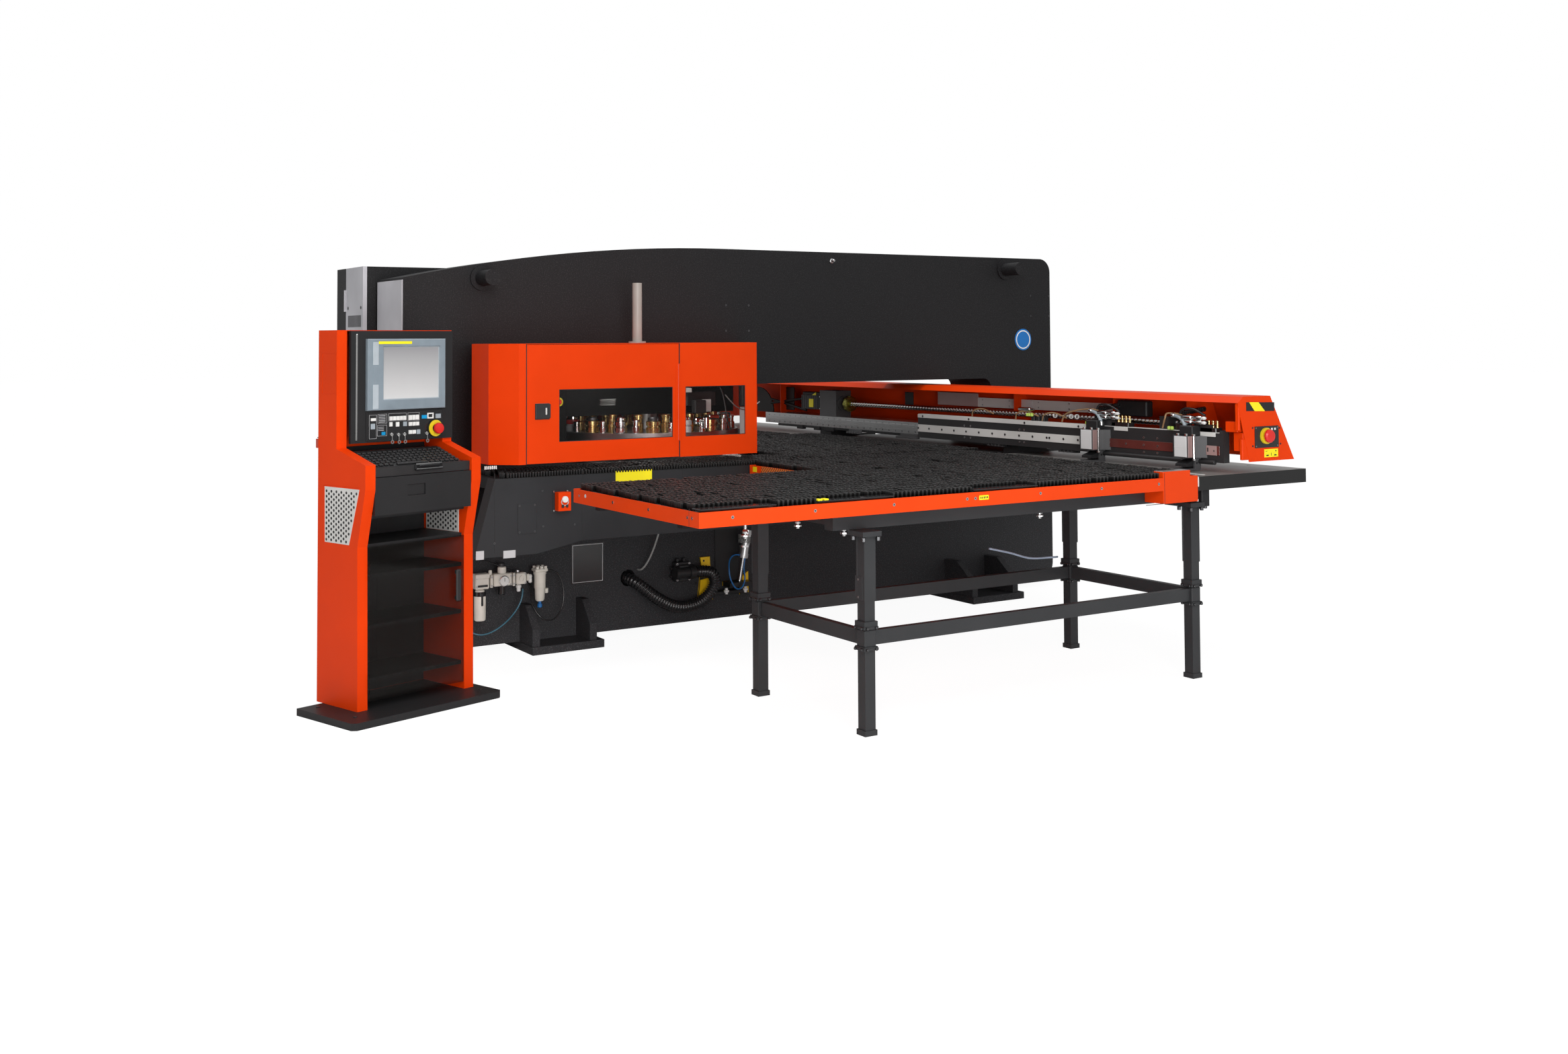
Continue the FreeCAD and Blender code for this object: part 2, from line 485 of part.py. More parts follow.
def turret(label, disc_low, disc_high, shaft_low, shaft_high, hole_radius):
    piece = Piece(label)
    piece.pad("XY", disc_low, disc_high, Ring(0, 0, s.pitch_radius + s.turret_rim))
    holes = piece.pocket("XY", disc_low, disc_high, Ring(0, s.pitch_radius, hole_radius))
    piece.around(holes, s.station_count)
    piece.pad("XY", shaft_low, shaft_high, Ring(0, 0, s.shaft_radius))
    piece.place(0, s.turret_y, 0)
    return piece


shaft_end = s.bearing_length - s.bearing_flange * 2
turret("upper_turret", s.upper_disc_bottom, s.upper_disc_top, s.upper_disc_top, s.throat_roof + shaft_end,
       s.station_radius)
turret("lower_turret", s.lower_disc_bottom, s.lower_disc_top, s.throat_floor - shaft_end, s.lower_disc_bottom,
       s.die_bore)

punches = Piece("punch_holders")
punch = punches.pad("XY", s.upper_disc_bottom - s.punch_nose, s.punch_top, Ring(0, s.pitch_radius, s.station_radius))
punches.around(punch, s.station_count)
head = punches.pad("XY", s.punch_top, s.punch_head_top, Ring(0, s.pitch_radius, s.punch_head_radius))
punches.around(head, s.station_count)
punches.place(0, s.turret_y, 0)

bearings = Piece("turret_bearings")
for face, lo, hi in ((s.throat_roof, s.throat_roof, s.throat_roof + s.bearing_length),
                     (s.throat_floor, lower_bearing_bottom, s.throat_floor)):
    bearings.pad("XY", lo, hi, Ring(0, 0, s.bearing_radius), Ring(0, 0, s.shaft_radius + s.run_gap))
for lo, hi in ((s.throat_roof - s.bearing_flange, s.throat_roof), (s.throat_floor, s.throat_floor + s.bearing_flange)):
    bearings.pad("XY", lo, hi, Ring(0, 0, s.bearing_flange_radius), Ring(0, 0, s.shaft_radius + s.run_gap))
bearings.place(0, s.turret_y, 0)

# ---- fixed centre table, its brushes, and the skirts with their brackets
table_bottom = s.table_top - s.centre_table_thick
column_gap = frame_half + s.door_gap
brush_top = s.pass_line
turret_hole = s.pitch_radius + s.turret_rim + s.turret_hole_gap
far_low = s.far_guard_low_y
centre = Piece("centre_table")
centre.pad("XY", table_bottom, s.table_top, [
    (-s.centre_half_width, far_low), (-column_gap, far_low), (-column_gap, s.throat_low_end + s.door_gap),
    (column_gap, s.throat_low_end + s.door_gap), (column_gap, s.centre_table_low_end),
    (s.centre_half_width, s.centre_table_low_end), (s.centre_half_width, s.throat_high_end),
    (-s.centre_half_width, s.throat_high_end)])
centre.pocket("XY", table_bottom, s.table_top, Ring(0, s.turret_y, turret_hole))

brushes = Piece("centre_brushes")
brush_from = s.turret_y + turret_hole + s.bristle_pitch
row = brushes.pad("XY", s.table_top, brush_top,
                  rect(-s.centre_half_width + s.bristle_width, s.centre_half_width - s.bristle_width,
                       brush_from, brush_from + s.bristle_width))
brushes.along(row, "Y", s.bristle_pitch, s.centre_rows)
near_rows = brushes.pad("XY", s.table_top, brush_top,
                        rect(turret_hole + s.bristle_width, s.centre_half_width - s.bristle_width,
                             s.centre_table_low_end + s.bristle_width, s.centre_table_low_end + s.bristle_width * 2))
brushes.along(near_rows, "Y", s.bristle_pitch, s.near_rows)
far_rows = brushes.pad("XY", s.table_top, brush_top,
                       rect(-s.centre_half_width + s.bristle_width, -turret_hole - s.bristle_width,
                            far_low + s.bristle_width, far_low + s.bristle_width * 2))
brushes.along(far_rows, "Y", s.bristle_pitch, s.far_rows)

skirt = Piece("table_skirts")
skirt_face = s.skirt_front
skirt.pad("YZ", skirt_face - sheet_t, skirt_face, [
    (s.skirt_low_end, s.skirt_bottom), (s.skirt_step_from, s.skirt_bottom), (s.skirt_step_to, s.skirt_step),
    (s.skirt_high_end, s.skirt_step), (s.skirt_high_end, s.skirt_top), (s.skirt_shoulder, s.skirt_top)])
skirt.pad("YZ", skirt_face - s.skirt_return, skirt_face - sheet_t, [
    (s.skirt_low_end, s.skirt_bottom), (s.skirt_low_end + sheet_t, s.skirt_bottom),
    (s.skirt_shoulder + sheet_t, s.skirt_top), (s.skirt_shoulder, s.skirt_top)])
skirt.pad("YZ", -skirt_face, sheet_t - skirt_face, rect(far_low, s.skirt_high_end, s.skirt_step, s.skirt_top))
bracket_ys = (far_low, s.throat_low_end + s.bracket_step, s.skirt_high_end - s.bracket_thick)
for y in bracket_ys:
    skirt.pad("XZ", y, y + s.bracket_thick,
              rect(frame_half, skirt_face - sheet_t, s.skirt_step + s.bracket_drop, table_bottom),
              rect(sheet_t - skirt_face, -frame_half, s.skirt_step + s.bracket_drop, table_bottom))

box = Piece("button_box")
box.pad("YZ", skirt_face, skirt_face + s.button_box_depth,
        rect(s.button_box_y - s.button_box_width / 2, s.button_box_y + s.button_box_width / 2,
             s.button_box_z - s.button_box_height / 2, s.button_box_z + s.button_box_height / 2))
feed_z = s.button_box_z + s.button_box_height / 8
box.pocket("YZ", skirt_face + s.button_box_depth / 2, skirt_face + s.button_box_depth,
           Ring(s.button_box_y, feed_z, s.button_radius + s.run_gap))
feed = Piece("feed_button")
feed.pad("YZ", skirt_face + s.button_box_depth / 2 + s.button_travel, skirt_face + s.button_box_depth + s.button_travel * 2,
         Ring(s.button_box_y, feed_z, s.button_radius))

# ---- air preparation unit on the frame's face
block_half = s.air_block / 2
air_low, air_high = s.air_y - s.air_row / 2, s.air_y + s.air_row / 2
bowl_y = air_low + block_half
air_bottom = s.air_z - block_half
air = Piece("air_unit")
air.pad("YZ", s.air_x - block_half, s.air_x + block_half, rect(air_low, air_high, air_bottom, s.air_z + block_half))
air.pad("YZ", frame_half, s.air_x - block_half, rect(s.air_y - block_half, s.air_y + block_half,
                                                    air_bottom + sheet_t, s.air_z + block_half - sheet_t))
air.pad("XY", air_bottom - s.bowl_length, air_bottom, Ring(s.air_x, bowl_y, s.bowl_radius))
air.pad("XY", air_bottom - s.bowl_length - s.bowl_radius / 2, air_bottom - s.bowl_length,
        Ring(s.air_x, bowl_y, s.bowl_radius / 3))
air.pad("YZ", s.air_x + block_half, s.air_x + block_half + s.bowl_radius * 0.6,
        Ring(s.air_y, air_bottom + s.bowl_radius, s.bowl_radius * 1.1))
air.pad("XY", air_bottom - s.bowl_radius * 2, air_bottom, Ring(s.air_x, air_high - block_half, s.bowl_radius * 0.8))

knob = Piece("regulator_knob")
knob_z = s.air_z + block_half
knob.pad("XY", knob_z + s.fit_gap, knob_z + s.knob_length, Ring(s.air_x, s.air_y, s.knob_radius))

air_filter = Piece("air_filter")
air_filter.pad("XY", s.filter_bottom, s.filter_top - s.filter_radius, Ring(s.air_x, s.filter_y, s.filter_radius))
air_filter.pad("XY", s.filter_top - s.filter_radius * 2, s.filter_top,
               rect(s.air_x - s.filter_radius * 1.2, s.air_x + s.filter_radius * 1.2,
                    s.filter_y - s.filter_radius * 1.2, s.filter_y + s.filter_radius * 1.2))
air_filter.pad("XY", s.filter_bottom - s.filter_radius * 1.2, s.filter_bottom,
               Ring(s.air_x, s.filter_y, s.filter_radius / 3))
air_filter.pad("YZ", frame_half, s.air_x - s.filter_radius * 1.2,
               rect(s.filter_y - s.filter_radius / 2, s.filter_y + s.filter_radius / 2,
                    s.filter_top - s.filter_radius * 2, s.filter_top))


def bent_run(points):
    # straight runs joined by tangent arcs: each arc takes 0.45 of the shorter run beside it
    spots = [FreeCAD.Vector(*[number(c) for c in p]) for p in points]
    edges, start, tightest = [], spots[0], None
    for before, corner, after in zip(spots, spots[1:], spots[2:]):
        into, out = (corner - before).normalize(), (after - corner).normalize()
        half_turn = into.getAngle(out) / 2
        take = 0.45 * min((corner - before).Length, (after - corner).Length)
        radius = take / math.tan(half_turn)
        tightest = radius if tightest is None else min(tightest, radius)
        first, last = corner - into * take, corner + out * take
        middle = corner + (out - into).normalize() * (radius / math.cos(half_turn) - radius)
        edges.append(Part.LineSegment(start, first).toShape())
        edges.append(Part.Arc(first, middle, last).toShape())
        start = last
    edges.append(Part.LineSegment(start, spots[-1]).toShape())
    return Part.Wire(edges), tightest


def tube_solid(points, radius):
    wire, tightest = bent_run(points)
    direction = wire.Edges[0].tangentAt(wire.Edges[0].FirstParameter)
    start = wire.Edges[0].valueAt(wire.Edges[0].FirstParameter)
    ring = Part.Wire([Part.Circle(start, direction, number(radius)).toShape()])
    solid = wire.makePipeShell([ring], True, False)
    expected = wire.Length * math.pi * number(radius) ** 2
    if abs(solid.Volume / expected - 1) > 0.02:
        raise ValueError("a tube's volume is off: %.0f, not %.0f" % (solid.Volume, expected))
    return solid, wire.Length, tightest


def shaped(label, shape):
    item = doc.addObject("Part::Feature", label)
    item.Label = label
    item.Shape = shape
    item.Placement = FreeCAD.Placement(FreeCAD.Vector(0, 0, 0), FreeCAD.Rotation())
    pieces.append(item)


def tubes(label, routes, radius):
    solids = []
    for route in routes:
        solid, length, tightest = tube_solid(route, radius)
        solids.append(solid)
        print("%s: run of %.0f mm, radius %.1f, tightest bend %.0f" % (label, length, number(radius), tightest))
    shaped(label, Part.makeCompound(solids) if len(solids) > 1 else solids[0])


def route(*points):
    # a point is three sizes, or plain numbers in run units
    return [tuple(c if isinstance(c, Size) else s.run_unit * c for c in point) for point in points]


tube_x = s.air_x
face_x = frame_half
cable_top = s.skirt_step + s.bracket_drop
# the last tube runs from the cylinder's lower cap round to that cap's underside
cap_at = s.rod_length + s.cylinder_radius / 2
lean = math.radians(-s.cylinder_tilt.value)
foot_z = s.cylinder_z + s.cylinder_rod * 0.2
cap_reach = s.cylinder_radius * 1.15


def by_cylinder(along, aside, out):
    # a point beside the leaning cylinder: along its axis, aside along the frame, and out from the frame
    return (s.cylinder_x + out, s.cylinder_y + along * math.sin(lean) - aside * math.cos(lean),
            foot_z + along * math.cos(lean) + aside * math.sin(lean))


tubes("air_tubes", [
    route((tube_x, air_high - s.bowl_radius * 1.4, air_bottom - s.bowl_radius * 2),
          (tube_x, air_high - s.bowl_radius * 1.4, 2.78), (2.94, -2.52, 2.12), (3.00, -3.12, 1.60),
          (2.98, -3.74, 1.24), (2.90, -4.38, 1.10), (2.72, -4.92, 1.34), (2.50, -5.24, 1.76),
          (2.30, -5.32, 2.02), (face_x, -5.32, 2.02)),
    route((tube_x, s.filter_y + s.filter_radius * 1.2, 4.06), (tube_x, -0.36, 4.06), (2.90, 0.08, 3.40),
          (2.94, 0.14, 2.40), (3.12, -0.26, 1.70), (3.32, -0.84, 1.50), (3.34, -1.40, 1.78), (2.98, -1.68, 2.40),
          (2.62, -1.58, 3.00), (2.36, -1.48, 3.40), (face_x, -1.48, 3.40)),
    route(by_cylinder(cap_at, cap_reach, 0), by_cylinder(cap_at, cap_reach + s.run_unit * 0.36, 0),
          (2.76, 10.10, 3.66), (3.00, 9.94, 3.18), (3.06, 10.00, 2.62), (3.06, 10.36, 2.05), (3.06, 10.80, 2.12),
          (3.02, 10.98, 2.62), (2.88, 10.99, 2.96), by_cylinder(s.rod_length - s.run_unit * 0.45, 0, s.cap_offset),
          by_cylinder(s.rod_length, 0, s.cap_offset)),
], s.tube_radius)
tubes("signal_cable", [
    route((3.10, 5.70, cable_top), (3.10, 5.70, 6.18), (3.02, 5.58, 5.44), (2.88, 5.38, 4.70), (2.70, 5.14, 4.02),
          (2.46, 4.86, 3.50), (face_x, 4.86, 3.50)),
], s.cable_radius)


def ribbed_hose(route, radius, rib, wall, count):
    # ribs: a ruled loft through four circles each; the bore is lofted along the same route
    wire, tightest = bent_run(route)
    total = wire.Length
    plain = number(radius) * 2

    def section(distance, size):
        rest = distance
        for edge in wire.Edges:
            if rest <= edge.Length or edge.isSame(wire.Edges[-1]):
                parameter = edge.getParameterByLength(min(rest, edge.Length))
                return edge.valueAt(parameter), edge.tangentAt(parameter), size
            rest -= edge.Length

    stations = [section(0, number(radius) - number(rib)), section(plain, number(radius) - number(rib))]
    pitch = (total - 2 * plain) / number(count)
    for i in range(int(number(count))):
        start = plain + i * pitch
        for share, size in ((0.15, number(radius) - number(rib)), (0.35, number(radius)),
                            (0.75, number(radius)), (0.95, number(radius) - number(rib))):
            stations.append(section(start + share * pitch, size))
    stations.append(section(total, number(radius) - number(rib)))

    def circles(rings):
        # each ring's start is carried on from the one before, so that the loft doesn't twist
        across, wires = FreeCAD.Vector(0, 0, 1), []
        for spot, along, size in rings:
            across = (across - along * across.dot(along)).normalize()
            ring = Part.Circle(FreeCAD.Vector(0, 0, 0), FreeCAD.Vector(0, 0, 1), size).toShape()
            turn = FreeCAD.Rotation(across, along.cross(across), along, "ZXY")
            ring.Placement = FreeCAD.Placement(spot, turn)
            wires.append(Part.Wire([ring]))
        return wires

    outer = Part.makeLoft(circles(stations), True, True)
    bore_radius = number(radius) - number(rib) - number(wall)
    bore_ends = [section(0, bore_radius), section(plain, bore_radius)]
    bore_ends += [section(plain + (i + 1) * pitch, bore_radius) for i in range(int(number(count)))]
    bore = Part.makeLoft(circles(bore_ends + [section(total, bore_radius)]), True, True)
    print("ribbed hose: %.0f mm, tightest bend %.0f" % (total, tightest))
    return outer.cut(bore)


shaped("ribbed_hose", ribbed_hose(
    route((frame_half - s.bearing_radius, s.hose_hole_y, s.hose_hole_z), (1.90, s.hose_hole_y, s.hose_hole_z),
          (2.55, 4.62, 2.82), (s.hose_x, 5.60, 1.98), (s.hose_x, 6.90, 1.30), (s.hose_x, 8.42, 1.48),
          (s.hose_x, 9.25, 2.35), (s.hose_x, 9.12, 3.05), (s.hose_x, 8.48, s.elbow_z),
          (s.hose_x, s.elbow_y, s.elbow_z)),
    s.hose_radius, s.hose_rib, s.hose_wall, s.hose_rib_count))
elbow = Piece("hose_elbow")
plain_radius = s.hose_radius - s.hose_rib
elbow.pad("XZ", s.elbow_y, s.elbow_y + s.hose_radius, Ring(s.hose_x, s.elbow_z, s.hose_radius + s.hose_rib),
          Ring(s.hose_x, s.elbow_z, plain_radius))
elbow.pad("XZ", s.elbow_y - s.hose_radius * 2, s.elbow_y, Ring(s.hose_x, s.elbow_z, plain_radius))
elbow.pad("XZ", s.elbow_y - s.hose_radius * 2.6, s.elbow_y - s.hose_radius * 2,
          Ring(s.hose_x, s.elbow_z, plain_radius * 1.2))
elbow.pad("XZ", s.elbow_y - s.hose_radius * 1.6, s.elbow_y - s.hose_radius * 0.6,
          rect(frame_half, s.hose_x, s.elbow_z - s.hose_radius / 2, s.elbow_z + s.hose_radius / 2))

cylinder = Piece("air_cylinder")
cylinder.pad("XY", Size(0, "0"), s.rod_length, Ring(0, 0, s.cylinder_rod))
cylinder.pad("XY", s.rod_length, s.cylinder_length, Ring(0, 0, s.cylinder_radius))
cylinder.pad("XY", s.rod_length, s.rod_length + s.cylinder_radius, Ring(0, 0, s.cylinder_radius * 1.15))
cylinder.pad("XY", s.cylinder_length - s.cylinder_radius, s.cylinder_length, Ring(0, 0, s.cylinder_radius * 1.15))
cylinder.pad("XY", s.cylinder_length - s.cylinder_radius, s.cylinder_length - s.cylinder_rod,
             rect(frame_half - s.cylinder_x, Size(0, "0"), -s.cylinder_rod, s.cylinder_rod))
# the tilted rod stands on the plate on its low rim
cylinder.place(s.cylinder_x, s.cylinder_y, s.cylinder_z + s.cylinder_rod * 0.2, s.cylinder_tilt, axis=(1, 0, 0))

lugs = Piece("cylinder_brackets")
lugs.pad("YZ", frame_half, frame_half + s.lug_thick, [
    (s.lug_low_y, s.lug_bottom), (s.lug_low_y + s.lug_width, s.lug_bottom + s.lug_width / 3),
    (s.lug_low_y + s.lug_width, s.lug_top), (s.lug_low_y + s.lug_width / 3, s.lug_top)])
lugs.pad("YZ", frame_half, frame_half + s.lug_thick, [
    (s.lug_high_y, s.lug_bottom), (s.lug_high_y + s.lug_width * 0.6, s.lug_bottom),
    (s.lug_high_y + s.lug_width * 0.6, s.cylinder_z + s.lug_width / 2), (s.lug_high_y + s.lug_width / 4,
                                                                       s.cylinder_z + s.lug_width / 2)])
lugs.pad("XZ", s.cylinder_y - s.lug_width, s.cylinder_y + s.lug_width,
         rect(frame_half, s.cylinder_x + s.cylinder_radius, s.cylinder_z - s.cylinder_radius, s.cylinder_z))

# ---- rails, leg stands and the moving side tables; the far side mirrors the near one
rail_low, rail_high = s.base_low_end - s.slide_travel - s.truck_height, s.throat_high_end - s.cabinet_wall
ways = Piece("y_rails")
for sign in (1, -1):
    middle = s.rail_gauge / 2 * sign
    ways.pad("XY", s.throat_floor, s.throat_floor + s.way_height,
             rect(middle - s.way_width / 2, middle + s.way_width / 2, rail_low, rail_high))


def both_sides(loops):
    return list(loops) + [mirror_x(loop) for loop in loops]


stand_edge = s.table_edge - s.stand_inset
leg_x = (stand_edge - s.stand_width + s.leg_width / 2, stand_edge - s.leg_width / 2)
leg_y = (s.stand_low_end + s.leg_width / 2, s.stand_high_end - s.leg_width / 2)


def at_legs(width):
    return both_sides([rect(x - width / 2, x + width / 2, y - width / 2, y + width / 2) for x in leg_x for y in leg_y])


stand_top = s.flange_bottom + s.flange_thick
brace_bottom = s.brace_top - s.brace_height
stands = Piece("leg_stands")
ground = Size(0, "0")
stands.pad("XY", ground, s.leg_cap_height, *at_legs(s.leg_cap))
stands.pad("XY", s.leg_cap_height, s.upper_tube_low, *at_legs(s.leg_width))
stands.pad("XY", brace_bottom - s.collar_height / 2, brace_bottom - sheet_t, *at_legs(s.collar_width))
stands.pad("XY", s.brace_top + s.collar_height / 3, s.brace_top + s.collar_height * 1.3, *at_legs(s.collar_width))
stands.pad("XY", s.upper_tube_low, s.flange_bottom, *at_legs(s.upper_tube))
stands.pad("XY", s.flange_bottom, stand_top, *at_legs(s.flange_width))
brace_half = s.brace_thick / 2
stands.pad("XY", brace_bottom, s.brace_top, *both_sides(
    [rect(leg_x[0], leg_x[1], y - brace_half, y + brace_half) for y in leg_y] +
    [rect(x - brace_half, x + brace_half, leg_y[0] + brace_half, leg_y[1] - brace_half) for x in leg_x]))
slide_x = s.table_edge - s.corner_depth - s.rail_width - s.door_gap
rail_from, rail_to = leg_y[0] - s.rail_overhang, leg_y[1] + s.rail_overhang
flange_half, rail_half = s.flange_width / 2, s.rail_width / 2
stands.pad("XY", s.flange_bottom, stand_top, *both_sides([
    rect(slide_x, leg_x[1] - flange_half, y - flange_half, y + flange_half) for y in leg_y]))
stands.pad("XY", stand_top, stand_top + s.rail_height, *both_sides([
    rect(slide_x, slide_x + s.rail_width, rail_from, rail_to),
    rect(leg_x[0] - rail_half, leg_x[0] + rail_half, rail_from, rail_to)] +
    [rect(leg_x[0] + rail_half, slide_x, y - rail_half, y + rail_half) for y in leg_y]))

table_split = s.inner_part_edge + s.inner_part_width
deck_bottom = s.table_top - s.deck_thick
fascia_bottom = s.fascia_top - s.fascia_height


def l_shape(inset):
    return [(s.inner_part_edge + inset, s.inner_part_low_end + inset),
            (table_split + inset, s.inner_part_low_end + inset), (table_split + inset, s.table_low_end + inset),
            (s.table_edge - inset, s.table_low_end + inset), (s.table_edge - inset, s.table_high_end - inset),
            (s.inner_part_edge + inset, s.table_high_end - inset)]


def side_table(label, side):
    piece = Piece(label)
    piece.pad("XY", fascia_bottom, s.fascia_top - s.bristle_lap, side(l_shape(ground)), side(l_shape(s.fascia_thick)))
    piece.pad("XY", deck_bottom, s.table_top, side(l_shape(ground)))
    rib = piece.pad("XY", fascia_bottom, deck_bottom,
                    side(rect(table_split, s.table_edge - s.fascia_thick, s.table_low_end + s.rib_step,
                              s.table_low_end + s.rib_step + s.shoe_width)))
    piece.along(rib, "Y", s.rib_step, s.rib_count)
    for x in (slide_x, leg_x[0] - s.rail_width / 2):
        piece.pad("XY", stand_top + s.rail_height + s.fit_gap, deck_bottom,
                  side(rect(x, x + s.shoe_width, s.table_low_end + s.fascia_thick, s.table_high_end - s.fascia_thick)))
    piece.pad("XY", s.corner_bottom, s.table_top,
              side(rect(s.table_edge - s.corner_depth, s.table_edge, s.corner_low_end, s.corner_high_end)))
    piece.pad("XY", s.table_top, s.corner_lip,
              side(rect(s.table_edge - s.corner_depth / 2, s.table_edge, s.corner_low_end, s.corner_high_end - s.leg_width)))


side_table("near_table", lambda loop: loop)
side_table("far_table", mirror_x)

rows = Piece("table_brushes")
margin = s.bristle_width
for side in (lambda loop: loop, mirror_x):
    outer = rows.pad("XY", s.table_top, s.pass_line,
                     side(rect(table_split + margin, s.table_edge - s.corner_depth / 2 - s.fit_gap,
                               s.table_low_end + margin, s.table_low_end + margin * 2)))
    rows.along(outer, "Y", s.bristle_pitch, s.outer_rows)
    inner = rows.pad("XY", s.table_top, s.pass_line,
                     side(rect(s.inner_part_edge + margin, table_split - margin, s.inner_part_low_end + margin,
                               s.inner_part_low_end + margin * 2)))
    rows.along(inner, "Y", s.bristle_pitch, s.inner_rows)

slabs = Piece("slab_tables")
slab_top = s.table_top + 1
slab_rect = rect(s.slab_inner_edge, s.table_edge, s.table_high_end, s.slab_high_end)
slab_hollow = rect(s.slab_inner_edge + s.deck_thick, s.table_edge - s.deck_thick,
                   s.table_high_end + s.deck_thick, s.slab_high_end - s.deck_thick)
slabs.pad("XY", s.slab_bottom, slab_top, *both_sides([slab_rect]))
slabs.pocket("XY", s.slab_bottom, slab_top - s.deck_thick, *both_sides([slab_hollow]))

# ---- carriage base on the rails, the beam above it and its cover
truck_top = s.throat_floor + s.truck_height + sheet_t
cross_top = truck_top + s.base_height
base = Piece("carriage_base")
for sign in (1, -1):
    middle = s.rail_gauge / 2 * sign
    for y in (s.base_low_end, s.base_high_end - s.truck_length):
        base.pad("XY", s.throat_floor + sheet_t, truck_top,
                         rect(middle - s.way_width, middle + s.way_width, y, y + s.truck_length))
base.pad("XY", truck_top, cross_top, rect(-s.upright_outer, s.upright_outer, s.base_low_end, s.base_high_end))
way_gap = s.way_width / 2 + s.fit_gap
for sign in (1, -1):
    middle = s.rail_gauge / 2 * sign
    base.pocket("XZ", s.base_low_end, s.base_high_end,
                rect(middle - way_gap, middle + way_gap, s.throat_floor, s.throat_floor + s.way_height + s.fit_gap))
for lo, hi in ((s.upright_inner, s.upright_outer), (-s.upright_outer, -s.upright_inner)):
    base.pad("YZ", lo, hi, [(s.base_low_end, truck_top), (s.base_high_end, truck_top), (s.base_high_end, cross_top),
                            (s.beam_low_face + s.beam_depth, s.beam_bottom), (s.beam_low_face, s.beam_bottom)])

beam = Piece("x_beam")
beam_back = s.beam_low_face + s.beam_depth
beam.pad("YZ", -s.beam_half_length, s.beam_half_length,
         rect(s.beam_low_face, beam_back, s.beam_bottom, s.beam_top),
         rect(s.beam_low_face + s.beam_wall, beam_back - s.beam_wall, s.beam_bottom + s.beam_wall,
              s.beam_top - s.beam_wall))
guide_low, guide_high = s.beam_bottom + s.guide_inset, s.beam_top - s.guide_inset
beam.pad("YZ", -s.beam_half_length + s.leg_width, s.beam_half_length - s.leg_width,
         rect(s.beam_low_face - s.guide_depth, s.beam_low_face, guide_low, guide_high))

hood = Piece("beam_cover")
t = s.hood_sheet
hood_outline = [(s.hood_lip_y, s.hood_lip), (s.hood_low_edge, s.hood_top), (s.hood_high_edge, s.hood_top),
                (s.hood_foot_y, s.hood_foot_z)]
hood_inner = [(s.hood_lip_y + t * 1.5, s.hood_lip), (s.hood_low_edge + t * 0.5, s.hood_top - t),
              (s.hood_high_edge - t * 0.6, s.hood_top - t), (s.hood_foot_y - t * 1.2, s.hood_foot_z)]
end_outline = [(s.hood_foot_low, s.hood_foot_z), (s.hood_foot_y, s.hood_foot_z), (s.hood_high_edge, s.hood_top),
               (s.hood_low_edge, s.hood_top), (s.hood_lip_y, s.hood_lip)]
hood.pad("YZ", -s.hood_half_length, s.hood_half_length, hood_outline + hood_inner[::-1])
stop_hole = Ring(s.stop_y, s.stop_z, s.stop_stem + s.run_gap)
hood.pad("YZ", s.hood_half_length, s.hood_half_length + t, end_outline, stop_hole)
hood.pad("YZ", -s.hood_half_length - t, -s.hood_half_length, end_outline)
hood_face = s.hood_half_length + t
hood.pad("YZ", hood_face, hood_face + s.stop_stem,
         Ring(s.stop_y, s.stop_z, s.stop_collar_radius), Ring(s.stop_y, s.stop_z, s.stop_stem + s.run_gap))
slope = (s.hood_foot_y - s.hood_high_edge) / (s.hood_top - s.hood_foot_z)
rib_foot_y = s.hood_high_edge + slope * (s.hood_top - s.beam_top) - t
rib_outline = [(s.rib_front, s.beam_top), (rib_foot_y, s.beam_top), (s.hood_high_edge - t, s.hood_top - t),
               (s.rib_front, s.hood_top - t)]
for middle in (-s.beam_half_length + s.leg_width, s.guard_front, s.beam_half_length - s.leg_width):
    hood.pad("YZ", middle - t, middle + t, rib_outline)
end_bearing = s.screw_end - s.bearing_width
hood.pad("YZ", end_bearing, s.screw_end, [
    (s.bar_low_face + s.bar_depth + s.leg_width / 2, s.screw_z - s.coupling_radius),
    (rib_foot_y - s.coupling_radius, s.screw_z - s.coupling_radius), (s.hood_high_edge - t, s.hood_top - t),
    (s.bar_low_face + s.bar_depth + s.leg_width / 2, s.hood_top - t)],
    Ring(s.screw_y, s.screw_z, s.screw_radius * 0.75 + s.run_gap))

stop = Piece("beam_stop_button")
cap_from = hood_face + s.stop_stem + s.button_travel + 1
stop.pad("YZ", s.hood_half_length - s.stop_stem, cap_from, Ring(s.stop_y, s.stop_z, s.stop_stem))
stop.pad("YZ", cap_from, cap_from + s.stop_stem * 1.6, Ring(s.stop_y, s.stop_z, s.stop_cap_radius))

# ---- screw drive on top of the beam
motor = Piece("screw_motor")
block_lo, block_hi = s.screw_y - s.block_half, s.screw_y + s.block_half
motor.pad("YZ", s.motor_from, s.bearing_block_from,
          rect(s.screw_y - s.motor_half, s.screw_y + s.motor_half, s.screw_z - s.motor_half, s.screw_z + s.motor_half))
motor.pad("YZ", s.bearing_block_from, s.bearing_block_to,
          rect(block_lo, block_hi, s.beam_top, s.screw_z + s.block_rise))
motor.pocket("YZ", s.bearing_block_from, s.bearing_block_to,
             Ring(s.screw_y, s.screw_z, s.screw_radius * 0.75 + s.run_gap))
motor.pad("YZ", s.bearing_block_to, s.bearing_block_to + s.stop_stem,
          Ring(s.screw_y, s.screw_z, s.coupling_radius), Ring(s.screw_y, s.screw_z, s.screw_radius))

